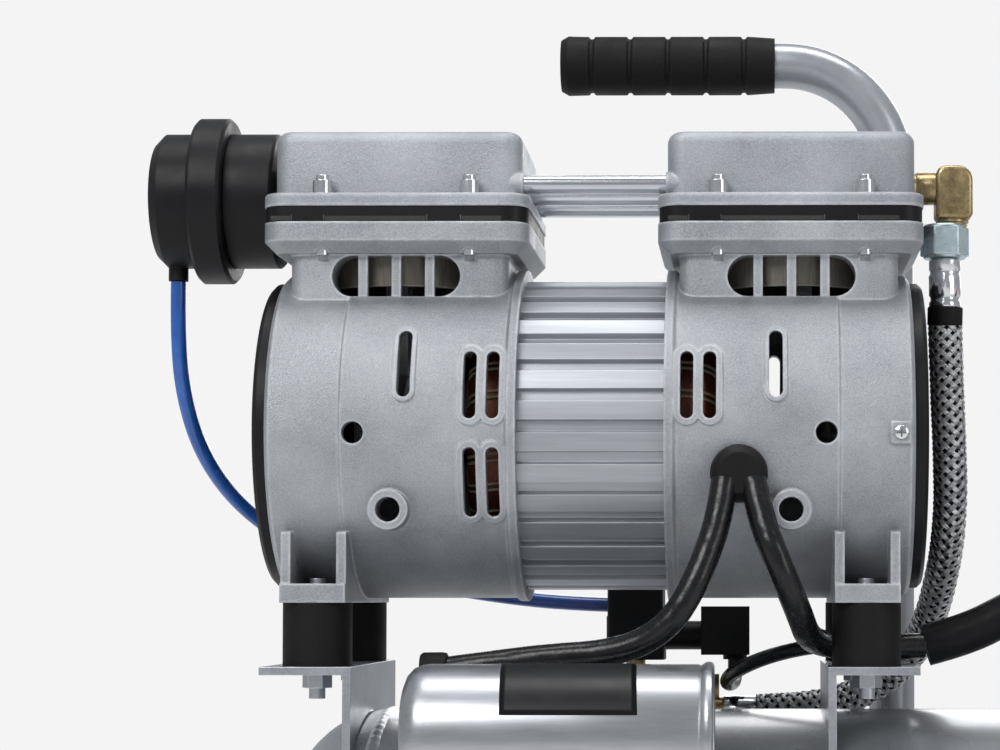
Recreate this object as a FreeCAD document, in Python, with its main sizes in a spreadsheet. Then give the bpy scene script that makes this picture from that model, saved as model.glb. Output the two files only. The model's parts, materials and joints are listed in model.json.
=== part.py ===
import FreeCAD, Part
import math
import os
import re

from FreeCAD import Rotation, Vector

# Oil-free twin-cylinder air compressor on a horizontal tank. Millimetres, +Z up.
# +X runs along the motor and the tank, -Y is the front, Z = 0 is the floor.

SIZES = [
    ("pump_x", -130, "middle of the pump along X"),
    ("tank_x", 16, "middle of the tank"),
    ("tank_radius", 120, "tank outer radius"),
    ("tank_wall", 2.5, "tank wall"),
    ("tank_length", 570, "tank length over its dished ends"),
    ("tank_dish", 59, "depth of each dished end"),
    ("tank_knuckle", 36, "small radius of the dished ends"),
    ("foot_height", 30, "tank above the floor, and height of the rubber feet"),
    ("foot_radius", 17, "rubber foot radius"),
    ("foot_span", 370, "distance between the left and right feet"),
    ("foot_y", 72, "feet to the tank's middle plane"),
    ("sheet_thick", 3, "thickness of the steel brackets"),
    ("bracket_rise", 17.6, "pump brackets above the tank top"),
    ("bracket_width", 118, "pump brackets along Y"),
    ("bracket_reach", 33.5, "width of the bracket plates along X"),
    ("web_x", 87, "bracket webs from the pump middle"),
    ("rubber_x", 101.5, "rubber mounts from the pump middle along X"),
    ("rubber_y", 44.5, "rubber mounts from the pump middle along Y"),
    ("rubber_radius", 12.75, "rubber mount radius"),
    ("rubber_height", 23.4, "rubber mount height"),
    ("stud_radius", 3, "mount studs and foot bolts"),
    ("nut_radius", 5.5, "nuts over their corners, halved"),
    ("nut_height", 5, "height of the mount nuts"),
    ("nut_seat", 2, "nut seats above the underside of the pump feet"),
    ("nut_room", 1.2, "gap round a nut in its pocket"),
    ("foot_drop", 1.8, "pump feet below the bells"),
    ("bell_radius", 62.7, "housing outer radius"),
    ("bell_bore", 57.5, "housing inner radius"),
    ("bell_inner", 27, "inner end of each housing from the pump middle"),
    ("bell_outer", 119, "outer end of each housing from the pump middle"),
    ("cover_thick", 5, "end cover thickness"),
    ("fin_radius", 59.6, "stator shell radius over its fins"),
    ("fin_depth", 2.6, "depth of the fins"),
    ("fin_count", 32, "fins around the stator shell"),
    ("core_bore", 32, "stator core bore radius"),
    ("rotor_radius", 31.6, "rotor radius"),
    ("shaft_radius", 7.5, "motor shaft radius"),
    ("bearing_radius", 17.5, "main bearing outer radius"),
    ("bearing_width", 11, "main bearing width"),
    ("bearing_x", 51, "main bearing from the pump middle"),
    ("crank_throw", 7, "eccentric offset, half the stroke"),
    ("cylinder_x", 74, "cylinder axis from the pump middle"),
    ("bore_radius", 31.85, "cylinder bore radius"),
    ("sleeve_wall", 1.7, "cylinder sleeve wall"),
    ("sleeve_length", 22.9, "cylinder sleeve length"),
    ("seat_depth", 28.8, "sleeve seats below the valve plates"),
    ("clamp_margin", 4.85, "cup left outside the piston clamp plate"),
    ("neck_length", 82, "cylinder neck along X"),
    ("neck_width", 76, "cylinder neck along Y"),
    ("neck_stand", 3.2, "top of the neck above the bell"),
    ("flange_length", 99.5, "head flanges along X"),
    ("flange_width", 90, "head flanges along Y"),
    ("flange_thick", 11.4, "cylinder flange thickness"),
    ("flange_corner", 9, "corner radius of the flanges"),
    ("plate_thick", 5.9, "valve plate thickness"),
    ("head_flange", 5, "head flange thickness"),
    ("head_rise", 25, "head body above its flange"),
    ("head_length", 93.2, "head body along X"),
    ("screw_x", 27.5, "head screws from the cylinder axis along X"),
    ("screw_y", 39.5, "head screws from the cylinder axis along Y"),
    ("screw_radius", 2.5, "head screw shank radius"),
    ("screw_cap", 3.7, "head screw cap radius"),
    ("cap_height", 5, "head screw cap height"),
    ("pipe_y", 30, "outer cross tubes from the middle plane"),
    ("pipe_radius", 3.5, "cross tube radius"),
    ("pipe_length", 62, "cross tube length"),
    ("handle_x", 117.8, "handle post from the pump middle"),
    ("handle_y", 89, "handle post behind the middle plane"),
    ("handle_radius", 9.5, "handle tube radius"),
    ("handle_wall", 1.5, "handle tube wall"),
    ("handle_bend", 45, "handle bend radius"),
    ("handle_z", 538.5, "height of the handle's top run"),
    ("grip_length", 90.3, "rubber grip length"),
    ("grip_radius", 12.3, "rubber grip radius"),
    ("grip_start", -21.6, "free end of the grip from the pump middle"),
    ("filter_rise", 3.3, "air filter axis above the head flange"),
    ("filter_neck", 26, "air filter body radius"),
    ("filter_ring", 32, "air filter ring radius"),
    ("filter_reach", 171, "free end of the filter from the pump middle"),
    ("tube_radius", 3, "blue tube radius"),
    ("hose_radius", 6.5, "braided hose radius"),
    ("elbow_x", 137, "brass elbow from the pump middle"),
    ("can_radius", 25.6, "capacitor radius"),
    ("can_length", 109, "capacitor length"),
    ("can_x", -8.5, "capacitor middle from the pump middle"),
    ("can_y", 93, "capacitor axis in front of the middle plane"),
    ("can_z", 264, "capacitor axis height"),
    ("lead_radius", 5, "motor lead radius"),
    ("wire_radius", 3, "valve lead radius"),
    ("duct_radius", 8, "cable sleeve radius"),
    ("panel_x", 255, "manifold column from the pump middle"),
    ("check_x", 35, "check valve from the pump middle"),
    ("check_y", 70, "check valve behind the middle plane"),
    ("seat_gap", 0.1, "gap between curved faces that seat on each other"),
    ("run_gap", 0.35, "gap beside moving pieces"),
    ("fit_gap", 0.05, "radial gap of shafts and studs in their holes"),
]

# Places that follow from the sizes, in sheet formulas.
LAYOUT = [
    ("tank_z", "=Sizes.foot_height + Sizes.tank_radius"),
    ("tank_top", "=Sizes.foot_height + 2 * Sizes.tank_radius"),
    ("tank_shell_length", "=Sizes.tank_length - 2 * Sizes.tank_dish"),
    ("bracket_top", "=tank_top + Sizes.bracket_rise"),
    ("pump_foot", "=bracket_top + Sizes.rubber_height"),
    ("motor_z", "=pump_foot + Sizes.bell_radius + Sizes.foot_drop"),
    ("deck_z", "=motor_z + Sizes.bell_radius + Sizes.neck_stand"),
    ("valve_z", "=deck_z + Sizes.flange_thick"),
    ("head_z", "=valve_z + Sizes.plate_thick"),
    ("cap_z", "=head_z + Sizes.head_flange"),
    ("head_top", "=cap_z + Sizes.head_rise"),
    ("piston_top", "=valve_z - 1 - Sizes.crank_throw"),
    ("tube_z", "=cap_z + 5"),
    ("filter_z", "=cap_z + Sizes.filter_rise"),
    ("foot_plate_top", "=Sizes.foot_height + Sizes.sheet_thick"),
    ("check_z", "=tank_z + sqrt(pow(Sizes.tank_radius; 2) - pow(Sizes.check_y; 2)) + 12"),
]

os.makedirs("parts", exist_ok=True)
doc = FreeCAD.newDocument("AirCompressor")
sizes = doc.addObject("Spreadsheet::Sheet", "Sizes")
for row, (alias, value, note) in enumerate(SIZES, start=1):
    sizes.set(f"A{row}", note)
    sizes.set(f"B{row}", str(value))
    sizes.setAlias(f"B{row}", alias)
layout = doc.addObject("Spreadsheet::Sheet", "Layout")
for row, (alias, rule) in enumerate(LAYOUT, start=1):
    layout.set(f"A{row}", alias.replace("_", " "))
    layout.set(f"B{row}", rule)
    layout.setAlias(f"B{row}", alias)
doc.recompute()

SHEET_OF = {alias: "Sizes" for alias, value, note in SIZES}
SHEET_OF.update({alias: "Layout" for alias, rule in LAYOUT})

ALONG_X = Rotation(Vector(0, 1, 0), 90)
AGAINST_X = Rotation(Vector(0, 1, 0), -90)
ALONG_Y = Rotation(Vector(1, 0, 0), -90)
AGAINST_Y = Rotation(Vector(1, 0, 0), 90)
DOWN = Rotation(Vector(1, 0, 0), 180)
UP = Rotation()


def size(alias):
    """The number that a sheet cell holds."""
    return float(getattr(doc.getObject(SHEET_OF[alias]), alias))


def formula(text):
    """An expression in which each alias names its sheet."""
    def full(match):
        word = match.group(0)
        return f"{SHEET_OF[word]}.{word}" if word in SHEET_OF else word
    return re.sub(r"[a-z_]+", full, str(text))


def bind(thing, **sizes_of):
    """Ties properties of an object to formulas in the sheets."""
    for key, text in sizes_of.items():
        thing.setExpression(key, formula(text))


def put(thing, spot, turn=UP):
    """Places an object at a spot given by three formulas."""
    thing.Placement = FreeCAD.Placement(Vector(0, 0, 0), turn)
    for letter, text in zip("xyz", spot):
        thing.setExpression(f"Placement.Base.{letter}", formula(text))
    return thing


def rod(name, radius, length, spot, turn=UP):
    """A cylinder that starts at the spot and runs along the turned Z axis."""
    thing = doc.addObject("Part::Cylinder", name)
    bind(thing, Radius=radius, Height=length)
    return put(thing, spot, turn)


def block(name, lengths, spot):
    """A box centred on the spot in X and Y, standing on it in Z."""
    thing = doc.addObject("Part::Box", name)
    bind(thing, Length=lengths[0], Width=lengths[1], Height=lengths[2])
    corner = (f"({spot[0]}) - ({lengths[0]}) / 2", f"({spot[1]}) - ({lengths[1]}) / 2", spot[2])
    return put(thing, corner)


def hexagon(name, radius, length, spot, turn=UP):
    """A hexagonal bar: radius over its corners."""
    thing = doc.addObject("Part::Prism", name)
    bind(thing, Circumradius=radius, Height=length)
    return put(thing, spot, turn)


def join(name, *things):
    thing = doc.addObject("Part::MultiFuse", name)
    thing.Shapes = list(things)
    return thing


def cut(name, base, *tools):
    thing = doc.addObject("Part::Cut", name)
    thing.Base = base
    thing.Tool = tools[0] if len(tools) == 1 else join(name + "_tools", *tools)
    return thing


def overlap(name, base, tool):
    thing = doc.addObject("Part::Common", name)
    thing.Base = base
    thing.Tool = tool
    return thing


def group(name, *things):
    """Separate solids that share a node."""
    thing = doc.addObject("Part::Compound", name)
    thing.Links = list(things)
    return thing


def ring(name, outer, inner, length, spot, turn=UP):
    """A tube between two radii."""
    shell = rod(name + "_outer", outer, length, spot, turn)
    hole = rod(name + "_inner", inner, length, spot, turn)
    return cut(name, shell, hole)


def outline(body, name, plane_role, points):
    """A closed sketch on an origin plane, with every corner bound to two formulas."""
    sketch = body.newObject("Sketcher::SketchObject", name)
    plane = next(f for f in body.Origin.OriginFeatures if f.Role == plane_role)
    sketch.AttachmentSupport = [(plane, "")]
    sketch.MapMode = "FlatFace"
    rough = [Vector(10 * math.cos(2 * math.pi * i / len(points)),
                    10 * math.sin(2 * math.pi * i / len(points)), 0)
             for i in range(len(points))]
    for i, start in enumerate(rough):
        sketch.addGeometry(Part.LineSegment(start, rough[(i + 1) % len(rough)]), False)
    for i in range(len(points)):
        following = (i + 1) % len(points)
        sketch.addConstraint(Sketcher.Constraint("Coincident", i, 2, following, 1))
    for i, (across, along) in enumerate(points):
        for kind, text, value in (("DistanceX", across, rough[i].x), ("DistanceY", along, rough[i].y)):
            index = sketch.addConstraint(Sketcher.Constraint(kind, -1, 1, i, 1, value))
            sketch.setExpression(f"Constraints[{index}]", formula(text))
    return sketch


def turned(name, points, spot, turn=UP):
    """A body turned about its own Z axis from corners given as (radius, height)."""
    body = doc.addObject("PartDesign::Body", name)
    sketch = outline(body, name + "_profile", "XZ_Plane", points)
    feature = body.newObject("PartDesign::Revolution", name + "_turn")
    feature.Profile = sketch
    feature.ReferenceAxis = (sketch, ["V_Axis"])
    feature.Angle = 360
    body.Tip = feature
    return put(body, spot, turn)


def plate(name, lengths, spot, corner="0", low_bevel="0", top_round="0"):
    """A flat piece with rounded corners, a bevel below or a rounding on top."""
    length, width, thick = lengths
    body = doc.addObject("PartDesign::Body", name)
    points = [(f"{i} * ({length}) / 2", f"{j} * ({width}) / 2") for i,
              j in ((-1, -1), (1, -1), (1, 1), (-1, 1))]
    sketch = outline(body, name + "_outline", "XY_Plane", points)
    pad = body.newObject("PartDesign::Pad", name + "_pad")
    pad.Profile = sketch
    bind(pad, Length=thick)
    body.Tip = pad
    doc.recompute()
    top = pad.Shape.BoundBox.ZMax
    steps = (("Fillet", corner, lambda low, high: high - low > 0.9 * top),
             ("Chamfer", low_bevel, lambda low, high: high < 0.01),
             ("Fillet", top_round, lambda low, high: low > top - 0.01))
    for i, (kind, amount, wanted) in enumerate(steps):
        if amount != "0":
            base = body.Tip
            names = [f"Edge{n}" for n, edge in enumerate(base.Shape.Edges, start=1)
                     if wanted(edge.BoundBox.ZMin, edge.BoundBox.ZMax)]
            feature = body.newObject(f"PartDesign::{kind}", f"{name}_edge_{i}")
            feature.Base = (base, names)
            bind(feature, **{"Size" if kind == "Chamfer" else "Radius": amount})
            body.Tip = feature
            doc.recompute()
    return put(body, spot)


def profile(name, points, plane_role, width, spot):
    """A body with a constant section, padded evenly to both sides of an origin plane."""
    body = doc.addObject("PartDesign::Body", name)
    pad = body.newObject("PartDesign::Pad", name + "_pad")
    pad.Profile = outline(body, name + "_section", plane_role, points)
    bind(pad, Length=width)
    pad.SideType = "Symmetric"
    body.Tip = pad
    return put(body, spot)


def obround(name, width, height, depth, spot):
    """A round-ended upright bar that runs back from the spot along +Y."""
    x, y, z = spot
    if_wide = f"({width}) > ({height})"
    end = f"min({width}; {height}) / 2"
    long_x = f"({if_wide} ? ({width} - {height}) / 2 : 0)"
    long_z = f"({if_wide} ? 0 : ({height} - {width}) / 2)"
    first = rod(name + "_a", end, depth, (f"{x} - {long_x}", y, f"{z} - {long_z}"), ALONG_Y)
    second = rod(name + "_b", end, depth, (f"{x} + {long_x}", y, f"{z} + {long_z}"), ALONG_Y)
    middle = doc.addObject("Part::Box", name + "_middle")
    bind(middle, Width=depth, Length=f"{if_wide} ? ({width} - {height}) : {width}",
         Height=f"{if_wide} ? {height} : ({height} - {width})")
    put(middle, (f"{x} - ({if_wide} ? ({width} - {height}) / 2 : {width} / 2)", y,
                 f"{z} - ({if_wide} ? {height} / 2 : ({height} - {width}) / 2)"))
    return join(name, first, second, middle)


def labelled(label, thing):
    """Names the finished sub-part that is written to its own file."""
    thing.Label = label
    nodes[label] = thing
    return thing


nodes = {}
side_signs = ((-1, "left"), (1, "right"))


def end_arcs(sign, inset):
    """Crown and knuckle arcs of one dished end, moved inwards by the inset."""
    knuckle, dish = size("tank_knuckle"), size("tank_dish")
    rise = size("tank_radius") - knuckle
    crown = (rise ** 2 + dish ** 2 - knuckle ** 2) / (2 * (dish - knuckle))
    half = size("tank_shell_length") / 2
    meeting = math.atan2(rise, crown - dish)

    def arc(centre_x, centre_z, radius, first, last):
        spots = [Vector(sign * (centre_x + radius * math.cos(a)), 0, centre_z + radius * math.sin(a))
                 for a in (first, (first + last) / 2, last)]
        return Part.Arc(*spots).toShape()
    return [arc(half + dish - crown, 0, crown - inset, 0, meeting),
            arc(half, rise, knuckle - inset, meeting, math.pi / 2)]


def tank():
    """Welded shell with dished ends and its screwed bosses. The ends need tangent arcs."""
    radius, wall, half = size("tank_radius"), size("tank_wall"), size("tank_shell_length") / 2
    reach = size("tank_length") / 2
    edges = [Part.makeLine(Vector(sign * reach, 0, 0),
                           Vector(sign * (reach - wall), 0, 0)) for sign in (-1, 1)]
    for inset in (0, wall):
        edges += end_arcs(-1, inset) + end_arcs(1, inset)
        edges.append(Part.makeLine(Vector(-half, 0, radius - inset), Vector(half, 0, radius - inset)))
    section = Part.Face(Part.Wire(Part.__sortEdges__(edges)))
    hollow = doc.addObject("Part::Feature", "tank_hollow")
    hollow.Shape = section.revolve(Vector(0, 0, 0), Vector(1, 0, 0), 360)
    put(hollow, ("tank_x", "0", "tank_z"))
    inside = rod("tank_inside", "tank_radius - tank_wall", "tank_shell_length",
                 ("tank_x - tank_shell_length / 2", "0", "tank_z"), ALONG_X)
    bosses, bores = [], []
    for name, radius_text, hole, spot in (
            ("panel", "12", "6", ("pump_x + panel_x", "0", "tank_top + 8")),
            ("check", "11", "6", ("pump_x + check_x", "check_y", "check_z")),
            ("drain", "9", "4", ("tank_x", "0", "foot_height - 3"))):
        start = (spot[0], spot[1], spot[2] if name == "drain" else f"{spot[2]} - 24")
        bosses.append(rod(name + "_boss", radius_text, "10" if name == "drain" else "24", start))
        bores.append(rod(name + "_bore", hole, "60", (spot[0], spot[1], f"{start[2]} - 20")))
    shell = join("tank_bossed", hollow, cut("tank_bosses", join("tank_boss_rods", *bosses), inside))
    labelled("tank_shell", cut("tank_shell_solid", shell, *bores))


def feet():
    """Four bent foot brackets under the tank, each on a rubber foot with its bolt and nut."""
    brackets, rubbers, bolts = [], [], []
    for i, (sx, sy) in enumerate(((-1, -1), (1, -1), (-1, 1), (1, 1))):
        x, y = f"tank_x + {sx} * foot_span / 2", f"{sy} * foot_y"
        base = block(f"foot_plate_{i}", ("44", "42", "sheet_thick"), (x, y, "foot_height"))
        web = block(f"foot_web_{i}", ("sheet_thick", "42", "60"),
                    (f"{x} + {-sx} * (22 - sheet_thick / 2)", y, "foot_height"))
        tank_form = rod(f"foot_tank_{i}", "tank_radius + seat_gap", "60", (f"{x} - 30", "0", "tank_z"),
                        ALONG_X)
        hole = rod(f"foot_hole_{i}", "stud_radius + fit_gap", "20", (x, y, "foot_height - 5"))
        brackets.append(cut(f"foot_bracket_{i}", join(f"foot_angle_{i}", base, web), tank_form, hole))
        rubber = turned(f"rubber_foot_{i}", [
            ("stud_radius + fit_gap", "foot_height"), ("stud_radius + fit_gap", "8"),
            ("nut_radius + 2", "8"), ("nut_radius + 2", "0"),
            ("foot_radius - 1", "0"), ("foot_radius", "2"), ("foot_radius - 3", "foot_height")], (x, y,
                                                                                                  "0"))
        rubbers.append(rubber)
        head = hexagon(f"foot_bolt_head_{i}", "nut_radius", "4", (x, y, "4"))
        shank = rod(f"foot_bolt_shank_{i}", "stud_radius", "foot_height + sheet_thick", (x, y, "8"))
        nut = hexagon(f"foot_nut_{i}", "nut_radius", "5", (x, y, "foot_plate_top"))
        bolts.append(join(f"foot_bolt_{i}", head, shank, nut))
    labelled("foot_brackets", group("foot_bracket_group", *brackets))
    labelled("rubber_feet", group("rubber_foot_group", *rubbers))
    return bolts


def drain():
    """Drain valve under the tank with a knurled knob that unscrews."""
    body = turned("drain_body",
                  [("0", "-4"), ("3.9", "-4"), ("3.9", "5"), ("7", "5"), ("7", "12"), ("0", "12")],
                  ("tank_x", "0", "foot_height - 3"), DOWN)
    labelled("drain_valve", body)
    knob = rod("drain_knob_round", "8", "8", ("tank_x", "0", "foot_height - 23.3"))
    flats = block("drain_knob_flats", ("6", "20", "8"), ("tank_x", "0", "foot_height - 23.3"))
    labelled("drain_knob", join("drain_knob_wing", knob, overlap("drain_knob_ends", flats, rod(
        "drain_knob_limit", "11", "8", ("tank_x", "0", "foot_height - 23.3")))))


def brackets():
    """Bent plates that carry the pump, and the rubber mounts between them and its feet."""
    sides = []
    for sign, side in side_signs:
        inner, outer = f"{sign} * web_x", f"{sign} * (web_x + bracket_reach)"
        section = [(inner, "0"), (outer, "0"), (outer, "-sheet_thick"),
                   (f"{inner} + {sign} * sheet_thick", "-sheet_thick"),
                   (f"{inner} + {sign} * sheet_thick", "-70"), (inner, "-70")]
        angle = profile(f"bracket_angle_{side}", section, "XZ_Plane", "bracket_width",
                        ("pump_x", "0", "bracket_top"))
        tools = [rod(f"bracket_tank_{side}", "tank_radius + seat_gap", "tank_length",
                     ("tank_x - tank_length / 2", "0", "tank_z"), ALONG_X)]
        tools += [rod(f"bracket_hole_{side}_{j}", "stud_radius + fit_gap", "20",
                      (f"pump_x + {sign} * rubber_x", f"{j} * rubber_y",
                       "bracket_top - 10")) for j in (-1, 1)]
        sides.append(cut(f"bracket_{side}", angle, *tools))
    labelled("pump_brackets", group("bracket_group", *sides))
    rubbers, studs = [], []
    for i, (sx, sy) in enumerate(((-1, -1), (1, -1), (-1, 1), (1, 1))):
        x, y = f"pump_x + {sx} * rubber_x", f"{sy} * rubber_y"
        rubbers.append(ring(f"rubber_mount_{i}", "rubber_radius", "stud_radius + fit_gap",
                            "rubber_height",
                            (x, y, "bracket_top")))
        stud = rod(f"mount_stud_{i}", "stud_radius",
                   "rubber_height + sheet_thick + nut_seat + nut_height + 11",
                   (x, y, "bracket_top - sheet_thick - 9"))
        low = hexagon(f"mount_nut_low_{i}", "nut_radius", "nut_height",
                      (x, y, "bracket_top - sheet_thick - nut_height"))
        top = hexagon(f"mount_nut_top_{i}", "nut_radius", "nut_height", (x, y, "pump_foot + nut_seat"))
        studs.append(join(f"mount_stud_set_{i}", stud, low, top))
    labelled("rubber_mounts", group("rubber_mount_group", *rubbers))
    return studs


def casting_form(sign, side):
    """Outside of one housing: bell, feet, cylinder neck, head flange and bosses."""
    mid = "cylinder_x - 0.25"
    bell = turned(f"bell_{side}", [
        ("0", "bell_inner"), ("bell_radius + 1.2", "bell_inner"), ("bell_radius + 1.2", "bell_inner + 3"),
        ("bell_radius", "bell_inner + 4.5"), ("bell_radius", "91"), ("bell_radius - 0.9", "91.9"),
        ("bell_radius - 0.9", "bell_outer - 1.5"), ("bell_radius - 2.4", "bell_outer"), ("0",
                                                                                         "bell_outer")],
        ("pump_x", "0", "motor_z"), ALONG_X if sign > 0 else AGAINST_X)
    neck = plate(f"neck_{side}", ("neck_length", "neck_width", "bell_radius + neck_stand"),
                 (f"pump_x + {sign} * ({mid} - 0.75)", "0", "motor_z"), corner="6")
    flange = plate(f"flange_{side}", ("flange_length", "flange_width", "flange_thick"),
                   (f"pump_x + {sign} * ({mid})", "0", "deck_z"), corner="flange_corner", low_bevel="4.4")
    foot_x = f"pump_x + {sign} * rubber_x"
    base = block(f"foot_base_{side}", ("24", "2 * rubber_y + 25", "7"), (foot_x, "0", "pump_foot"))
    ribs = [block(f"foot_rib_{side}_{j}", ("3.6", "2 * rubber_y + 21", "26"),
                  (f"{foot_x} + {j} * 10.2", "0", "pump_foot")) for j in (-1, 1)]
    pieces = [bell, neck, flange, base, *ribs]
    for name, x, z, radius in (("upper", "86.4", "-2.5", "7"), ("lower", "73.5", "-30.5", "7.4")):
        pieces.append(rod(f"boss_{name}_{side}", radius, "2 * bell_radius - 2",
                          (f"pump_x + {sign} * {x}", "1 - bell_radius", f"motor_z + {z}"), ALONG_Y))
    for j in (-1, 1):
        pieces.append(rod(f"lug_{side}_{j}", "5.5", "12",
                          (f"pump_x + {sign} * (bell_inner + 3.2)", f"{j} * 34", "motor_z + 46"),
                          ALONG_X if sign > 0 else AGAINST_X))
    return pieces


def vent_tools(side, sign, rises):
    """Paired cooling slots through the front and rear of a bell, and the proud rims around them."""
    slots, rims = [], []
    for rise in rises:
        for x in ("35.4", "43.8"):
            for j, depth in ((-1, "-70"), (1, "42")):
                spot = (f"pump_x + {sign} * {x}", depth, f"motor_z + {rise}")
                level, face = ("up" if rise > 0 else "low"), ("front" if j < 0 else "rear")
                name = f"{side}_{x.replace('.', '_')}_{level}_{face}"
                slots.append(obround(f"vent_{name}", "4.8", "25", "28", spot))
                rims.append(obround(f"rim_{name}", "9.6", "30", "28", spot))
    return slots, rims


def housing(sign, side, rises):
    """One die-cast bell with its crank room, bearing wall, neck and windows."""
    slots, rims = vent_tools(side, sign, rises)
    for j, depth in ((-1, "-70"), (1, "42")):
        face = "front" if j < 0 else "rear"
        spot = (f"pump_x + {sign} * 68", depth, "motor_z + 23")
        slots.append(obround(f"port_{side}_{face}", "5", "25", "28", spot))
        rims.append(obround(f"port_rim_{side}_{face}", "8.4", "28.5", "28", spot))
    sheath = rod(f"rim_limit_{side}", "bell_radius + 0.9", "92",
                 (f"pump_x + {sign} * bell_inner", "0", "motor_z"),
                 ALONG_X if sign > 0 else AGAINST_X)
    proud = overlap(f"rims_{side}", join(f"rim_bars_{side}", *rims), sheath)
    form = join(f"casting_{side}", *casting_form(sign, side), proud)
    toward = ALONG_X if sign > 0 else AGAINST_X
    room = rod(f"room_{side}", "bell_bore", "bell_outer - bell_inner + 4",
               (f"pump_x + {sign} * (bell_inner - 2)", "0", "motor_z"), toward)
    hollow = cut(f"bell_hollow_{side}", form, room)
    wall = rod(f"bearing_wall_{side}", "bell_bore + 1", "5",
               (f"pump_x + {sign} * bearing_x", "0", "motor_z"), toward)
    hub = rod(f"bearing_hub_{side}", "bearing_radius + 5", "bearing_width + 1",
              (f"pump_x + {sign} * bearing_x", "0", "motor_z"), toward)
    walled = join(f"bell_walled_{side}", hollow, wall, hub)
    tools = list(slots)
    tools.append(rod(f"bearing_seat_{side}", "bearing_radius + fit_gap", "bearing_width + 6",
                     (f"pump_x + {sign} * (bearing_x - 2)", "0", "motor_z"), toward))
    for i in range(6):
        angle = math.radians(30 + 60 * i)
        tools.append(rod(f"air_hole_{side}_{i}", "7.5", "10",
                         (f"pump_x + {sign} * (bearing_x - 2)", f"38 * {math.cos(angle):.6f}",
                          f"motor_z + 38 * {math.sin(angle):.6f}"), toward))
    tools.append(rod(f"sleeve_seat_{side}", "bore_radius + sleeve_wall + fit_gap", "40",
                     (f"pump_x + {sign} * cylinder_x", "0", "valve_z - seat_depth")))
    for name, x, z, radius in (("upper", "86.4", "-2.5", "4"), ("lower", "73.5", "-30.5", "4.5")):
        tools.append(rod(f"bolt_bore_{name}_{side}", radius, "bell_radius",
                         (f"pump_x + {sign} * {x}", "-bell_radius - 10", f"motor_z + {z}"), ALONG_Y))
    window = obround(f"window_{side}", "48", "15.4", "neck_width + 20",
                     (f"pump_x + {sign} * cylinder_x", "-neck_width / 2 - 10", "deck_z - 8.2"))
    bars = [block(f"window_bar_{side}_{i}_{j}", ("3.5", "3.2", "24"),
                  (f"pump_x + {sign} * cylinder_x + {i} * 12.5", f"{j} * (neck_width / 2 - 2.2)",
                   "deck_z - 20"))
            for i in (-1, 0, 1) for j in (-1, 1)]
    for i, sx in enumerate((-1, 1)):
        for j, sy in enumerate((-1, 1)):
            tools.append(rod(f"foot_bore_{side}_{i}{j}", "stud_radius + fit_gap", "22",
                             (f"pump_x + {sign} * rubber_x", f"{sy} * rubber_y", "pump_foot - 5")))
            tools.append(rod(f"foot_pocket_{side}_{i}{j}", "nut_radius + nut_room", "nut_height + 1",
                             (f"pump_x + {sign} * rubber_x", f"{sy} * rubber_y", "pump_foot + nut_seat")))
            tools.append(rod(f"screw_bore_{side}_{i}{j}", "screw_radius + fit_gap", "20",
                             (f"pump_x + {sign} * cylinder_x + {sx} * screw_x", f"{sy} * screw_y",
                              "valve_z - 14")))
    opened = cut(f"neck_open_{side}", walled,
                 cut(f"window_gaps_{side}", window, join(f"window_bars_{side}", *bars)))
    return cut(f"housing_solid_{side}", opened, *tools)


def housings():
    """Both castings: the left has two rows of vents, the right one row, a cable bore and a small pad."""
    labelled("housing_left", housing(-1, "left", (15, -20.5)))
    right = housing(1, "right", (15,))
    bore = rod("cable_bore", "8", "30", ("pump_x + 54.5", "-bell_radius - 10", "motor_z - 17.5"), ALONG_Y)
    labelled("housing_right", cut("housing_right_bored", right, bore))


def stator():
    """Finned aluminium shell between the bells, with the core and windings inside."""
    body = doc.addObject("PartDesign::Body", "stator_shell_body")
    tube = body.newObject("PartDesign::Revolution", "stator_tube")
    tube_section = outline(body, "stator_section", "XZ_Plane", [
        ("fin_radius - fin_depth - 2.6", "-bell_inner"), ("fin_radius", "-bell_inner"),
        ("fin_radius", "bell_inner"), ("fin_radius - fin_depth - 2.6", "bell_inner")])
    tube.Profile = tube_section
    tube.ReferenceAxis = (tube_section, ["V_Axis"])
    tube.Angle = 360
    groove = body.newObject("PartDesign::Pocket", "fin_groove")
    groove.Profile = outline(body, "groove_section", "XY_Plane", [
        ("fin_radius - fin_depth", "-1.7"), ("fin_radius + 2", "-2.9"),
        ("fin_radius + 2", "2.9"), ("fin_radius - fin_depth", "1.7")])
    groove.SideType = "Symmetric"
    bind(groove, Length="2 * bell_inner + 4")
    fins = body.newObject("PartDesign::PolarPattern", "fin_pattern")
    fins.Originals = [groove]
    fins.Axis = (next(f for f in body.Origin.OriginFeatures if f.Role == "Z_Axis"), [""])
    fins.Angle = 360
    bind(fins, Occurrences="fin_count")
    body.Tip = fins
    labelled("stator_shell", put(body, ("pump_x", "0", "motor_z"), ALONG_X))
    core_radius = "fin_radius - fin_depth - 2.6 - seat_gap"
    core = ring("core_ring", core_radius, "core_bore", "50", ("pump_x - 25", "0", "motor_z"), ALONG_X)
    labelled("stator_core", core)
    coils = [turned(f"winding_{side}",
                    [("35", "25"), ("46", "25"), ("48", "30"), ("48", "42"), ("44", "46.5"),
                                        ("39", "46.5"), ("35", "42")],
                    ("pump_x", "0",
                     "motor_z"), ALONG_X if sign > 0 else AGAINST_X) for sign, side in side_signs]
    labelled("windings", group("winding_pair", *coils))


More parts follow.
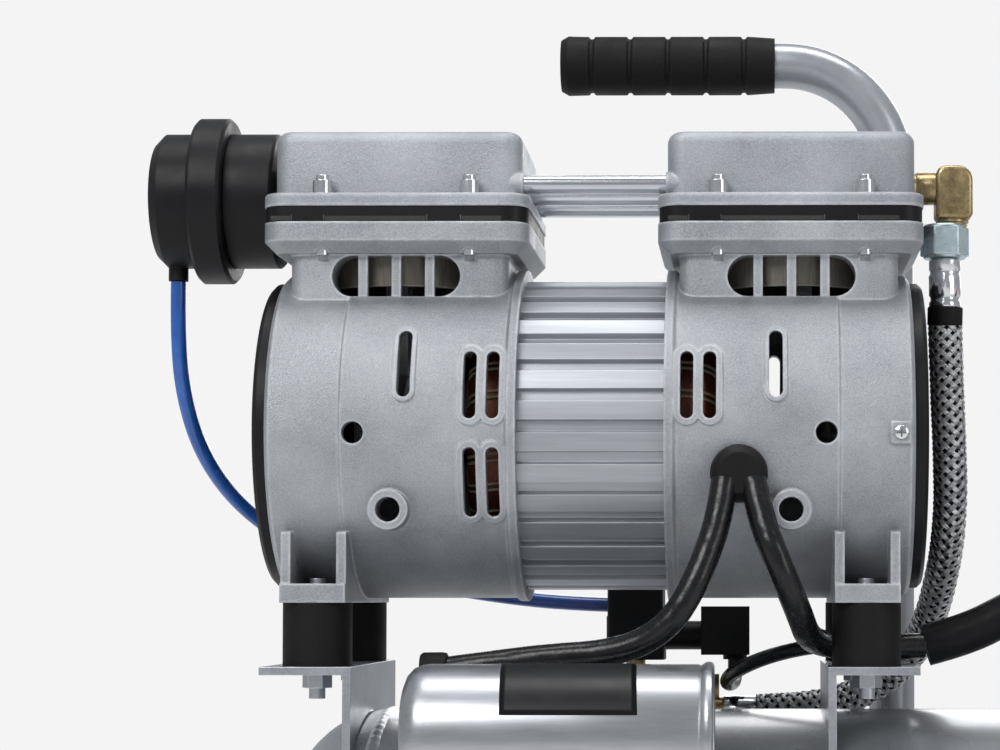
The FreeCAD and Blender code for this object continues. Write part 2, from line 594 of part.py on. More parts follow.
def crank():
    """Shaft with rotor, fans, eccentrics and balance weights, running in two bearings."""
    reach = "bell_outer - 7"
    labelled("motor_shaft", rod("shaft_rod", "shaft_radius", f"2 * ({reach})",
                                (f"pump_x - ({reach})", "0", "motor_z"), ALONG_X))
    bore = "shaft_radius + fit_gap"
    labelled("rotor_core",
             ring("rotor_ring", "rotor_radius", bore, "50", ("pump_x - 25", "0", "motor_z"), ALONG_X))
    bearings, fans, cams = [], [], []
    for sign, side in side_signs:
        toward = ALONG_X if sign > 0 else AGAINST_X

        def at(distance):
            return (f"pump_x + {sign} * ({distance})", "0", "motor_z")
        bearings.append(ring(f"bearing_{side}", "bearing_radius", bore, "bearing_width", at("bearing_x"),
                             toward))
        hub = rod(f"fan_hub_{side}", "12", "17", at("94"), toward)
        disc = rod(f"fan_disc_{side}", "46", "2", at("94"), toward)
        blades = []
        for i in range(10):
            blade = doc.addObject("Part::Box", f"fan_blade_{side}_{i}")
            bind(blade, Length="16", Width="35", Height="1.6")
            blade.Placement = FreeCAD.Placement(Vector(0, 0, 0), Rotation(Vector(1, 0, 0), 36 * i))
            for letter, text in zip("xyz", (at("102")[0] + " - 8",
                                            f"10 * {math.cos(math.radians(36 * i)):.6f}",
                                            f"motor_z + 10 * {math.sin(math.radians(36 * i)):.6f}")):
                blade.setExpression(f"Placement.Base.{letter}", formula(text))
            blades.append(blade)
        fans.append(cut(f"fan_{side}", join(f"fan_form_{side}", hub, disc, *blades),
                        rod(f"fan_bore_{side}", bore, "30", at("90"), toward)))
        shift = f"{-sign} * crank_throw"
        start = at("cylinder_x - 7.5")
        cam = rod(f"cam_{side}", "12", "6", (start[0], shift, start[2]), toward)
        cams.append(cut(f"eccentric_{side}", cam,
                        rod(f"cam_bore_{side}", bore, "20", at("cylinder_x - 12"), toward)))
        weight = rod(f"weight_disc_{side}", "38", "5", at("cylinder_x + 10.5"), toward)
        hub = rod(f"weight_hub_{side}", "13", "5", at("cylinder_x + 10.5"), toward)
        half = block(f"weight_half_{side}", ("30", "40", "90"),
                     (f"pump_x + {sign} * (cylinder_x + 13)", f"{sign} * 26", "motor_z - 45"))
        cams.append(cut(f"weight_{side}",
                        join(f"weight_form_{side}", hub, overlap(f"weight_side_{side}", weight, half)),
                        rod(f"weight_bore_{side}", bore, "20", at("cylinder_x + 5"), toward)))
    labelled("main_bearings", group("bearing_pair", *bearings))
    labelled("cooling_fans", group("fan_pair", *fans))
    labelled("eccentrics", group("eccentric_pair", *cams))


def pistons():
    """One-piece rods with their wobble pistons and cup seals, and the sleeves they run in."""
    sleeves = []
    for sign, side in side_signs:
        x = f"pump_x + {sign} * cylinder_x"
        toward = ALONG_X if sign > 0 else AGAINST_X
        eye = rod(f"rod_eye_{side}", "24", "9.4", (f"{x} + {sign} * -0.8", "0", "motor_z"), toward)
        shank = block(f"rod_shank_{side}", ("8.6", "13", "piston_top - motor_z - 18"),
                      (f"{x} + {sign} * 3.9", "0", "motor_z + 14"))
        disc = rod(f"rod_disc_{side}", "bore_radius - 0.6", "5", (x, "0", "piston_top - 8"))
        pin = rod(f"rod_pin_{side}", "12", "6", (x, "0", "piston_top - 6"))
        clamp = rod(f"rod_clamp_{side}", "bore_radius - clamp_margin", "1.4",
                    (x, "0", "piston_top - 1.5"))
        opening = rod(f"rod_opening_{side}", "shaft_radius + crank_throw + 1", "20",
                      (f"{x} + {sign} * -6", "0", "motor_z"), toward)
        solid = cut(f"rod_{side}", join(f"rod_form_{side}", eye, shank, disc, pin, clamp), opening)
        labelled(f"connecting_rod_{side}", solid)
        cup = turned(f"cup_{side}", [("12 + fit_gap", "-3"), ("bore_radius - seat_gap", "-3"),
                                     ("bore_radius - seat_gap", "0"), ("bore_radius - seat_gap - 1.5",
                                                                       "0"),
                                     ("bore_radius - seat_gap - 1.5", "-1.5"), ("12 + fit_gap", "-1.5")],
                     (x, "0", "piston_top"))
        labelled(f"piston_cup_{side}", cup)
        sleeves.append(ring(f"sleeve_{side}", "bore_radius + sleeve_wall", "bore_radius", "sleeve_length",
                            (x, "0", "valve_z - sleeve_length")))
    labelled("cylinder_sleeves", group("sleeve_pair", *sleeves))


def heads():
    """Valve plates, reeds, head castings, their screws and the three tubes between the heads."""
    plates, reeds, screws = [], [], []
    for sign, side in side_signs:
        x = f"pump_x + {sign} * (cylinder_x - 0.25)"
        axis = f"pump_x + {sign} * cylinder_x"
        spots = [(i, j) for i in (-1, 1) for j in (-1, 1)]
        holes = [rod(f"plate_hole_{side}_{n}", "screw_radius + fit_gap", "40",
                     (f"{axis} + {i} * screw_x", f"{j} * screw_y",
                      "valve_z - 2")) for n, (i, j) in enumerate(spots)]
        ports = [rod(f"plate_port_{side}_{j}", "4", "20",
                     (axis, f"{j} * 12", "valve_z - 5")) for j in (-1, 1)]
        slab = plate(f"valve_slab_{side}", ("flange_length - 1", "flange_width - 1", "plate_thick"),
                     (x, "0", "valve_z"), corner="flange_corner - 0.5")
        plates.append(cut(f"valve_plate_{side}", slab, *holes, *ports))
        reeds.append(block(f"reed_low_{side}", ("40", "13", "0.35"), (axis, "-12", "valve_z - 0.35")))
        reeds.append(block(f"reed_high_{side}", ("40", "13", "0.35"), (axis, "12", "head_z")))
        rim = plate(f"head_rim_{side}", ("flange_length", "flange_width", "head_flange"),
                    (x, "0", "head_z"),
                    corner="flange_corner", top_round="1.2")
        crown = plate(f"head_crown_{side}", ("head_length", "2 * screw_y - 9", "head_rise"),
                      (axis, "0", "cap_z"), corner="7", top_round="4.5")
        for n, (i, j) in enumerate(spots):
            spot = (f"{axis} + {i} * screw_x", f"{j} * screw_y", "cap_z")
            cap = rod(f"screw_head_{side}_{n}", "screw_cap", "cap_height", spot)
            shank = rod(f"screw_shank_{side}_{n}", "screw_radius", "30", (spot[0], spot[1], "cap_z - 23"))
            socket = hexagon(f"screw_socket_{side}_{n}", "2.1", "6",
                             (spot[0], spot[1], "cap_z + cap_height - 2.6"))
            screws.append(cut(f"head_screw_{side}_{n}", join(f"screw_form_{side}_{n}", cap, shank),
                              socket))
        rooms = [block(f"head_room_{side}_{j}", ("72", "28", "head_flange + head_rise - 4"),
                       (axis, f"{j} * 16", "head_z"))
                 for j in (-1, 1)]
        toward = ALONG_X if sign > 0 else AGAINST_X
        gas = [rod(f"pipe_hole_{side}_{j}", "pipe_radius + fit_gap", "12",
                   (f"pump_x + {sign} * 20", f"{j} * pipe_y", "tube_z"), toward) for j in (-1, 0, 1)]
        bosses = [rod(f"pipe_boss_{side}_{j}", "pipe_radius + 1.2", "8",
                      (f"pump_x + {sign} * (cylinder_x - head_length / 2 - 0.6)", f"{j} * pipe_y",
                       "tube_z"),
                      toward) for j in (-1, 0, 1)]
        outlet = rod(f"head_outlet_{side}", "5", "30", (f"pump_x + {sign} * 105", "0", "cap_z + 8"),
                     ALONG_X if sign > 0 else AGAINST_X)
        form = join(f"head_form_{side}", rim, crown, *bosses)
        labelled(f"head_{side}", cut(f"head_solid_{side}", form, *holes, *rooms, *gas, outlet))
    labelled("valve_plates", group("valve_plate_pair", *plates))
    labelled("reed_valves", group("reed_group", *reeds))
    labelled("head_screws", group("screw_group", *screws))
    labelled("cross_tubes", group("cross_tube_group", *[
        rod(f"cross_tube_{j + 1}", "pipe_radius", "pipe_length",
            ("pump_x - pipe_length / 2", f"{j} * pipe_y", "tube_z"), ALONG_X)
        for j in (-1, 0, 1)]))


def end_covers():
    """Perforated black covers over the fans."""
    covers = []
    for sign, side in side_signs:
        toward = ALONG_X if sign > 0 else AGAINST_X
        disc = turned(f"cover_disc_{side}",
                      [("0", "0"), ("bell_bore + 1.3", "0"), ("bell_bore + 1.3", "cover_thick - 1.5"),
                                             ("bell_bore - 0.2", "cover_thick"), ("0", "cover_thick")],
                      (f"pump_x + {sign} * bell_outer", "0", "motor_z"), toward)
        holes = []
        for count, distance, radius in ((6, 18, 4.2), (12, 31, 4.6), (18, 45, 4.8)):
            for i in range(count):
                angle = 2 * math.pi * i / count
                holes.append(rod(f"cover_hole_{side}_{distance}_{i}", radius, "12",
                                 (f"pump_x + {sign} * (bell_outer - 2)",
                                  f"{distance * math.cos(angle):.6f}",
                                  f"motor_z + {distance * math.sin(angle):.6f}"), toward))
        covers.append(cut(f"end_cover_{side}", disc, *holes))
    labelled("end_covers", group("end_cover_pair", *covers))


def handle():
    """Bent carry tube welded behind the tank, with a grooved rubber grip on its free end."""
    x, y, top = "pump_x + handle_x", "handle_y", "handle_z"
    free_end = "pump_x + grip_start + 3"
    layers = []
    for part, radius in (("outer", "handle_radius"), ("inner", "handle_radius - handle_wall")):
        post = rod(f"handle_post_{part}", radius, "handle_z - handle_bend - tank_z - 40",
                   (x, y, "tank_z + 40"))
        bend = doc.addObject("Part::Torus", f"handle_bend_{part}")
        bind(bend, Radius1="handle_bend", Radius2=radius)
        bend.Angle3 = 90
        put(bend, (f"{x} - handle_bend", y, f"{top} - handle_bend"), Rotation(Vector(1, 0, 0), 90))
        run = rod(f"handle_run_{part}", radius, f"({x} - handle_bend) - ({free_end})",
                  (free_end, y, top), ALONG_X)
        layers.append(join(f"handle_{part}", post, bend, run))
    form = rod("handle_tank", "tank_radius + seat_gap", "tank_length",
               ("tank_x - tank_length / 2", "0", "tank_z"), ALONG_X)
    labelled("handle_tube", cut("handle_trimmed", cut("handle_pipe", *layers), form))
    inner = "handle_radius + fit_gap"
    points = [("0", "0"), ("grip_radius - 1.5", "0"), ("grip_radius + 0.2", "3")]
    grooves = 5
    for i in range(grooves):
        z = f"13 + {i} * (grip_length - 26) / {grooves - 1}"
        points += [("grip_radius", f"{z} - 1.4"), ("grip_radius - 1", f"{z} - 0.5"),
                   ("grip_radius - 1", f"{z} + 0.5"),
                   ("grip_radius", f"{z} + 1.4")]
    points += [("grip_radius - 0.8", "grip_length"), (inner, "grip_length"), (inner, "3"), ("0", "3")]
    labelled("handle_grip", turned("grip_body", points, ("pump_x + grip_start", y, top), ALONG_X))


def air_filter():
    """Intake filter on the left head: body, foam element and cap with the tube's barb."""
    start = "pump_x - bell_outer - 4.6"
    body = turned("filter_bowl",
                  [("0", "0"), ("filter_neck - 1", "0"), ("filter_neck", "1"), ("filter_neck", "18.4"),
                                  ("filter_neck - 2.4", "18.4"), ("filter_neck - 2.4", "2.6"), ("0",
                                                                                                "2.6")],
                  (start, "0", "filter_z"), AGAINST_X)
    stub = rod("filter_stub", "6", "4", ("pump_x - bell_outer - 6", "0", "filter_z + 6"), ALONG_X)
    labelled("filter_body", join("filter_body_form", body, stub))
    labelled("filter_element", ring("filter_foam", "filter_neck - 2.8", "12", "filter_reach - 132",
                                    ("pump_x - 128", "0", "filter_z"), AGAINST_X))
    reach = "filter_reach - 142.2"
    cap = turned("filter_cap", [
        ("filter_neck - 2.4", "0"), ("filter_ring - 1.2", "0"), ("filter_ring", "1.2"), ("filter_ring",
                                                                                         "11.7"),
        ("filter_ring - 1.2", "12.9"), ("filter_neck", "12.9"), ("filter_neck", f"{reach} - 3.4"),
        ("filter_neck - 3.4", reach), ("0", reach), ("0", f"{reach} - 2.6"), ("filter_neck - 2.4",
                                                                              f"{reach} - 2.6")],
        ("pump_x - 142.2", "0", "filter_z"), AGAINST_X)
    barb = rod("filter_barb", "tube_radius + 0.8", "6",
               ("pump_x - 164", "0", "filter_z - filter_neck - 5"))
    labelled("filter_cover", join("filter_cover_form", cap, barb))


def cord(label, points, radius):
    """A cord's tube: straight runs joined by the largest tangent arcs that the runs allow."""
    route = [Vector(*p) for p in points]
    edges, last, radii = [], route[0], []
    for before, corner, after in zip(route, route[1:], route[2:]):
        to_corner, from_corner = (corner - before), (after - corner)
        run = min(to_corner.Length, from_corner.Length)
        to_corner.normalize()
        from_corner.normalize()
        turn = to_corner.getAngle(from_corner)
        reach = 0.45 * run
        radii.append(reach / math.tan(turn / 2))
        first, final = corner - to_corner * reach, corner + from_corner * reach
        bisector = from_corner - to_corner
        bisector.normalize()
        middle = corner + bisector * (radii[-1] / math.cos(turn / 2) - radii[-1])
        edges.append(Part.LineSegment(last, first).toShape())
        edges.append(Part.Arc(first, middle, final).toShape())
        last = final
    edges.append(Part.LineSegment(last, route[-1]).toShape())
    path = Part.Wire(edges)
    section = Part.Wire(Part.makeCircle(radius, route[0], route[1] - route[0]))
    tube = doc.addObject("Part::Feature", label + "_tube")
    tube.Shape = path.makePipeShell([section], True, False)
    wanted = math.pi * radius ** 2 * path.Length
    print(label, "length", round(path.Length, 1), "radii", [round(r) for r in radii],
          "volume ratio", round(tube.Shape.Volume / wanted, 4))
    return labelled(label, tube)


def from_pump(points):
    """Route points given from the pump middle."""
    return [(size("pump_x") + x, y, z) for x, y, z in points]


HOSE = [(134, 0, 424.6), (134.8, 3, 397), (136.4, 8, 370), (137.2, 15.5, 348), (136, 25, 330),
        (134, 36, 317),
        (131.5, 48, 305.5), (128, 59, 295.5), (121, 66.5, 286), (111, 69.6, 277.6), (99, 70.4, 271.6),
        (86, 70.6, 268.3), (73, 70.3, 267), (61.2, 70, 266.5)]
TUBE = [(-164, 0, 435.8), (-164.4, 1, 414), (-163, 6, 391), (-158.5, 18, 370), (-149, 36, 352),
        (-134, 54, 338),
        (-113, 67, 328), (-88, 75, 321), (-62, 78.4, 316), (-38, 79, 312.5), (-17, 78.4, 310.6), (-1, 78,
                                                                                                  310)]
CAPACITOR_LEAD = [(49.3, -66, 355), (47.5, -70.5, 342), (43, -76, 328), (37.5, -79.5, 315),
                  (30, -80, 303.5),
                  (19, -77.5, 296), (5, -74.8, 292.6), (-13, -73, 291.4), (-31, -72.2,
                                                                           289.3), (-49.6, -71.7, 286.8)]
MOTOR_LEAD = [(59.7, -66, 355), (62.3, -71.5, 342), (67.4, -76, 328), (73, -72.5, 315), (77, -61, 305.5),
              (79.5, -46, 299), (84, -31, 296), (92.5, -18.5, 294.6), (104, -9.5, 294), (124.9, -5.2,
                                                                                         294.4)]
VALVE_LEAD = [(52, 78, 287.4), (52, 78, 281.9), (51.7, 74.1, 278), (49.8, 63.5, 277.4), (48.6, 52, 279),
              (51, 40, 282.6), (59, 28, 287.2), (70.5, 18,
                                                 291.4), (84, 11, 294.2), (98, 6.5, 295), (111, 4, 294.8),
              (124.9, 3.1, 294.9)]
DUCT = [(126, -2, 294.5), (141, -2, 298.4), (157, -1.4, 306.3), (175, -0.6, 316), (191, 0, 325.6),
        (204, 0, 333), (216, 0, 337)]


def fittings():
    """Brass elbow, hose ends, check valve and unloader valve."""
    x = "pump_x + elbow_x"
    elbow = plate("elbow_block", ("15", "15", "22"), (x, "0", "head_z - 0.7"), corner="2.5",
                  top_round="1.5")
    stub = rod("elbow_stub", "6.1", "14", ("pump_x + 120.6", "0", "cap_z + 6.4"), ALONG_X)
    neck = rod("elbow_neck", "6", "6", ("pump_x + 134", "0", "head_z - 3"))
    labelled("brass_elbow", join("elbow_form", elbow, stub, neck))
    top = "head_z - 0.7"
    nut = hexagon("hose_nut_hex", "9.8", "13.6", ("pump_x + 134", "0", f"{top} - 14"))
    labelled("hose_fittings", group("hose_fitting_group",
             cut("hose_nut", nut,
                 rod("hose_nut_bore", "6.05", "20", ("pump_x + 134", "0", f"{top} - 3"))),
             rod("hose_ferrule_top", "6.1", "19", ("pump_x + 134", "0", f"{top} - 33")),
             rod("hose_ferrule_low", "6.1", "14", ("pump_x + check_x + 12", "check_y", "check_z + 7"),
                 ALONG_X)))
    level = "check_z + 7"
    valve_x = "pump_x + check_x"
    labelled("check_valve", join(
        "check_valve_form", hexagon("check_hex", "10.5", "22", (valve_x, "check_y", "check_z")),
        rod("check_thread", "5.9", "12", (valve_x, "check_y", "check_z - 10")),
        rod("check_inlet", "5.5", "12", (valve_x, "check_y", level), ALONG_X),
        rod("check_pilot", "4", "27", (f"{valve_x} - 27", "check_y", level), ALONG_X),
        rod("check_riser", "4", "20.9", (f"{valve_x} - 24", "check_y", level))))
    y = "check_y + 8"
    base = f"{level} + 20.9"
    plug = block("unloader_plug", ("20", "22", "20"), ("pump_x + 48", y, f"{base} + 2"))
    gland = rod("unloader_gland", "5", "3", ("pump_x + 52", y, base))
    labelled("unloader_valve", group(
        "unloader_group",
        plate("unloader_block", ("24", "28", "18"), ("pump_x + 11", y, base), corner="4"),
        plate("unloader_coil", ("23", "30", "18"), ("pump_x + 11", y, f"{base} + 18"), corner="2.5",
              top_round="1.5"),
        rod("unloader_stem", "6", "15", ("pump_x + 23", y, f"{base} + 10"), ALONG_X),
        join("unloader_connector", plug, gland)))


def electrics():
    """Capacitor on its cradle, and the cable grommet on the right bell."""
    y = "-can_y"
    left = "pump_x + can_x - can_length / 2"
    can = turned("can_form",
                 [("0", "0"), ("can_radius - 5", "0"), ("can_radius - 1.5", "1.6"), ("can_radius", "5"),
                              ("can_radius", "can_length - 4.2"), ("can_radius + 0.9",
                                                                   "can_length - 3.4"),
                              ("can_radius + 0.9", "can_length - 0.8"), ("can_radius - 1", "can_length"),
                              ("can_radius - 2.5", "can_length - 2"), ("0", "can_length - 2")],
                 (left, y, "can_z"), ALONG_X)
    boot = rod("can_boot", "lead_radius + 1.5", "10", ("pump_x - 60", "-71.5", "can_z + 22.8"), ALONG_X)
    labelled("capacitor_can", join("capacitor_form", can, boot))
    cradle = block("cradle_block", ("60", "26", "46"), ("pump_x + can_x", "-can_y + 12", "can_z - 48"))
    labelled("capacitor_cradle", cut(
        "cradle_form", cradle,
        rod("cradle_can", "can_radius + seat_gap", "140", ("pump_x + can_x - 70", y, "can_z"), ALONG_X),
        rod("cradle_tank", "tank_radius + seat_gap", "140", ("pump_x + can_x - 70", "0", "tank_z"),
            ALONG_X)))
    x, z = "pump_x + 54.5", "motor_z - 17.5"
    dome = turned("grommet_dome", [("0", "0"), ("10.5", "0"), ("10.5", "10"), ("9.6", "12.8"),
                                   ("7.4", "15"), ("0", "15")],
                  (x, "-bell_radius + 7.7", z), AGAINST_Y)
    spigot = rod("grommet_spigot", "7.9", "8", (x, "-bell_radius + 1", z), ALONG_Y)
    bell = rod("grommet_bell", "bell_radius + seat_gap", "60", ("pump_x + 30", "0", "motor_z"), ALONG_X)
    labelled("cable_grommet", join("grommet_form", cut("grommet_seated", dome, bell), spigot))


def panel():
    """Pressure switch, manifold, regulator, gauges, coupler and safety valve on the tank."""
    x = "pump_x + panel_x"
    low = "tank_top + 8"
    rail = plate("manifold_rail", ("64", "24", "24"), (x, "0", f"{low} + 16"), corner="2")
    nipple = rod("manifold_nipple", "9", "17", (x, "0", low))
    thread = rod("manifold_thread", "5.9", "14", (x, "0", f"{low} - 13"))
    riser = rod("manifold_riser", "8", "12", (x, "0", f"{low} + 38"))
    link = rod("manifold_link", "6", "14.7", (f"{x} + 31", "0", f"{low} + 28"), ALONG_X)
    labelled("manifold", join("manifold_form", rail, nipple, thread, riser, link))
    base_z = f"{low} + 50"
    base = plate("switch_base", ("64", "58", "18"), (x, "0", base_z), corner="5")
    glands = [rod("switch_gland_left", "9", "8", (f"{x} - 39", "0", f"{base_z} + 9"), ALONG_X),
              rod("switch_gland_right", "9", "14", (f"{x} + 31", "0", f"{base_z} + 9"), ALONG_X)]
    cover = plate("switch_cover", ("60", "54", "42"), (x, "0", f"{base_z} + 18"), corner="8",
                  top_round="5")
    labelled("pressure_switch", group("switch_group", join("switch_base_form", base, *glands), cover))
    stem = rod("switch_knob_stem", "6", "6", (x, "0", f"{base_z} + 60.35"))
    cap = plate("switch_knob_cap", ("24", "24", "12"), (x, "0", f"{base_z} + 66"), corner="11.5",
                top_round="3")
    labelled("switch_knob", join("switch_knob_form", stem, cap))
    rx = f"{x} + 63"
    outlet = rod("regulator_outlet", "6", "17", (f"{rx} + 12", "0", f"{low} + 28"), ALONG_X)
    regulator = turned("regulator_shell", [("0", "0"), ("12", "0"), ("14", "4"), ("17.2", "10"),
                                           ("17.2", "36"), ("0", "36")],
                       (rx, "0", f"{low} + 10"))
    gauge_stub = rod("regulator_gauge_stub", "5", "26", (rx, "0", f"{low} + 28"), AGAINST_Y)
    labelled("regulator_body", join("regulator_form", regulator, outlet, gauge_stub))
    knob = turned("regulator_knob_form",
                  [("0", "0"), ("15.5", "0"), ("16.5", "3"), ("15", "22"), ("13", "24"), ("0", "24")],
                  (rx, "0", f"{low} + 46.35"))
    labelled("regulator_knob", knob)
    cases = []
    for name, gx, back in (("tank", f"{x} - 20", "20"), ("outlet", rx, "26")):
        case = turned(f"gauge_{name}",
                      [("0", "0"), ("18", "0"), ("20", "2"), ("20", "14"), ("17.6", "14"), ("17.6", "4"),
                                        ("0", "4")], (gx, f"-{back}", f"{low} + 28"), AGAINST_Y)
        pieces = [case]
        if name == "tank":
            pieces.append(rod("gauge_tank_stub", "5", "9", (gx, "-12", f"{low} + 28"), AGAINST_Y))
        pieces.append(rod(f"gauge_{name}_pin", "0.8", "5.6", (gx, f"-{back} - 3", f"{low} + 28"),
                          AGAINST_Y))
        cases.append(join(f"gauge_case_{name}", *pieces))
        face = f"-{back} - 6"
        hand = doc.addObject("Part::Box", f"needle_hand_{name}")
        bind(hand, Length="1.2", Width="0.8", Height="19")
        hub = rod(f"needle_hub_{name}", "2", "1", ("0", "0", "0"), AGAINST_Y)
        needle = cut(f"needle_{name}",
                     join(f"needle_form_{name}", hub, put(hand, ("-0.6", "-0.9", "-15"))),
                     rod(f"needle_bore_{name}", "0.85", "4", ("0", "1", "0"), AGAINST_Y))
        zero_mark = Rotation(Vector(0, 1, 0), 45)
        labelled(f"{name}_gauge_needle", put(needle, (gx, face, f"{low} + 28"), zero_mark))
    labelled("gauge_cases", group("gauge_pair", *cases))
    cx = f"{rx} + 29"
    inner = [("3.5", "0"), ("11", "0"), ("11", "9"), ("7", "9"), ("7", "28"), ("3.5", "28")]
    labelled("coupler_body", turned("coupler_core", inner, (cx, "0", f"{low} + 28"), ALONG_X))
    labelled("coupler_sleeve", ring("coupler_collar", "11", "7 + fit_gap", "15",
                                    (f"{cx} + 12.5", "0", f"{low} + 28"), ALONG_X))
    sy = "12"
    safety = turned("safety_shell",
                    [("0", "0"), ("5.5", "0"), ("5.5", "5"), ("8", "5"), ("8", "22"), ("2.05", "22"),
                                     ("2.05", "10"), ("0", "10")], (f"{x} + 14", sy,
                                                                    f"{low} + 28"), ALONG_Y)
    labelled("safety_valve", safety)
    pin = rod("safety_pin", "2", "18", (f"{x} + 14", f"{sy} + 11", f"{low} + 28"), ALONG_Y)
    eye = doc.addObject("Part::Torus", "safety_eye")
    bind(eye, Radius1="8", Radius2="1.5")
    put(eye, (f"{x} + 14", f"{sy} + 37.5", f"{low} + 28"), ALONG_X)
    labelled("safety_ring", join("safety_ring_form", pin, eye))


def build():
    """Builds every sub-part and writes each to its own file."""
    tank()
    foot_bolts = feet()
    drain()
    mount_studs = brackets()
    labelled("mounting_hardware", group("hardware_group", *foot_bolts, *mount_studs))
    housings()
    stator()
    crank()
    pistons()
    heads()
    end_covers()
    handle()
    air_filter()
    fittings()
    electrics()
    panel()
    cord("braided_hose", from_pump(HOSE), size("hose_radius"))
    cord("blue_tube", from_pump(TUBE), size("tube_radius"))
    cord("capacitor_lead", from_pump(CAPACITOR_LEAD), size("lead_radius"))
    cord("motor_lead", from_pump(MOTOR_LEAD), size("lead_radius"))
    cord("valve_lead", from_pump(VALVE_LEAD), size("wire_radius"))
    cord("cable_sleeve", from_pump(DUCT), size("duct_radius"))
    doc.recompute()
    faults = [thing.Name for thing in doc.Objects if {"Invalid", "Error"} & set(thing.State)]
    for label, thing in nodes.items():
        if thing.Shape.isNull() or not thing.Shape.isValid() or not thing.Shape.Solids:
            faults.append(label)
    if faults:
        raise RuntimeError("failed: " + ", ".join(faults))
    for label, thing in nodes.items():
        thing.Shape.exportStep(f"parts/{label}.step")


build()
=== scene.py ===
import json
import math

import bmesh
import bpy
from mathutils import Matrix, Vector


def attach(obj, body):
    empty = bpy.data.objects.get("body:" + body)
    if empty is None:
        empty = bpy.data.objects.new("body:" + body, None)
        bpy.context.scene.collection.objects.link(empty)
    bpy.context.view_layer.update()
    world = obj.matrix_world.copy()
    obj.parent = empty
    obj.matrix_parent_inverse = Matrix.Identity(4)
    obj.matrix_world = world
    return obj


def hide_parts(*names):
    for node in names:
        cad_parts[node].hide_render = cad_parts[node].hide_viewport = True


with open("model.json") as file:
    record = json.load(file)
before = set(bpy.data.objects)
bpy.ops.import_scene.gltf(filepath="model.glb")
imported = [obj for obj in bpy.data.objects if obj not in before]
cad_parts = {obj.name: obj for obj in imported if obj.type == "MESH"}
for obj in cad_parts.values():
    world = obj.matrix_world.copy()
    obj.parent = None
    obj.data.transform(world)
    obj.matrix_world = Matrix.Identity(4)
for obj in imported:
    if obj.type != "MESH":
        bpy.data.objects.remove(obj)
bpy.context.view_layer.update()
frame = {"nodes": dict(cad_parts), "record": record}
PUMP_X = -0.130            # the pump's middle, in metres
AXIS_Z = 375.5             # the motor's axis, in millimetres
PALE = (0.905, 0.905, 0.905)


def camera():
    """The camera stands in front, level with the pump's underside, and looks almost level at it."""
    data = bpy.data.cameras.new("camera")
    data.lens = 93.0
    data.sensor_width = 36.0
    data.shift_x = -0.235
    data.shift_y = 0.130
    made = bpy.data.objects.new("camera", data)
    made.location = (-0.0697, -1.000, 0.312)
    made.rotation_euler = (math.radians(92.106), 0, math.radians(0.443))
    bpy.context.scene.collection.objects.link(made)
    bpy.context.scene.camera = made


def light(name, place, aim, size, power):
    """A soft rectangular studio light that faces the point aim."""
    data = bpy.data.lights.new(name, "AREA")
    data.shape = "RECTANGLE"
    data.size, data.size_y = size
    data.energy = power
    made = bpy.data.objects.new(name, data)
    made.location = place
    made.rotation_euler = (Vector(aim) - Vector(place)).to_track_quat("-Z", "Y").to_euler()
    bpy.context.scene.collection.objects.link(made)


def pale_floor():
    """A round pale floor that glows a little, so that it fades into the surround."""
    radius, sides = 3.4, 96
    turns = [2 * math.pi * k / sides for k in range(sides)]
    mesh = bpy.data.meshes.new("floor")
    mesh.from_pydata([(radius * math.cos(turn), radius * math.sin(turn), 0) for turn in turns], [],
                     [tuple(range(sides))])
    floor = bpy.data.objects.new("floor", mesh)
    bpy.context.scene.collection.objects.link(floor)
    pale, _, _, shader = nodes_of("pale_floor")
    shader.inputs["Base Color"].default_value = (0.55, 0.55, 0.55, 1)
    shader.inputs["Roughness"].default_value = 0.9
    shader.inputs["Specular IOR Level"].default_value = 0.1
    shader.inputs["Emission Color"].default_value = (*PALE, 1)
    shader.inputs["Emission Strength"].default_value = 0.34
    mesh.materials.append(pale)


def surround():
    """An even surround. The camera sees it paler than the shade that lights the object."""
    world = bpy.data.worlds.new("surround")
    world.use_nodes = True
    nodes, links = world.node_tree.nodes, world.node_tree.links
    seen = nodes["Background"]
    seen.inputs["Color"].default_value = (*PALE, 1)
    lit = nodes.new("ShaderNodeBackground")
    lit.inputs["Color"].default_value = (0.60, 0.62, 0.65, 1)
    lit.inputs["Strength"].default_value = 0.62
    either = nodes.new("ShaderNodeMixShader")
    links.new(nodes.new("ShaderNodeLightPath").outputs["Is Camera Ray"], either.inputs["Fac"])
    links.new(lit.outputs[0], either.inputs[1])
    links.new(seen.outputs[0], either.inputs[2])
    links.new(either.outputs[0], nodes["World Output"].inputs["Surface"])
    bpy.context.scene.world = world


def studio():
    """The floor, the surround and four soft lights."""
    pale_floor()
    surround()
    bpy.context.scene.view_settings.view_transform = "Standard"
    light("key_light", (-0.9, -1.5, 1.6), (-0.1, 0, 0.35), (1.0, 0.8), 21)
    light("fill_light", (1.5, -1.2, 0.9), (0, 0, 0.35), (0.7, 1.2), 7)
    light("top_light", (0.0, 0.0, 1.9), (0, 0, 0.3), (1.4, 0.6), 13)
    light("back_light", (0.3, 2.2, 1.2), (0, 0, 0.35), (1.8, 1.2), 16)


def nodes_of(name):
    """A new material with its tree's nodes, links and main shader."""
    made = bpy.data.materials.new(name)
    made.use_nodes = True
    tree = made.node_tree
    return made, tree.nodes, tree.links, tree.nodes["Principled BSDF"]


def noise(nodes, links, vector, scale, detail=3.0, roughness=0.6):
    """A noise texture on the given coordinates."""
    made = nodes.new("ShaderNodeTexNoise")
    made.inputs["Scale"].default_value = scale
    made.inputs["Detail"].default_value = detail
    made.inputs["Roughness"].default_value = roughness
    links.new(vector, made.inputs["Vector"])
    return made.outputs["Fac"]


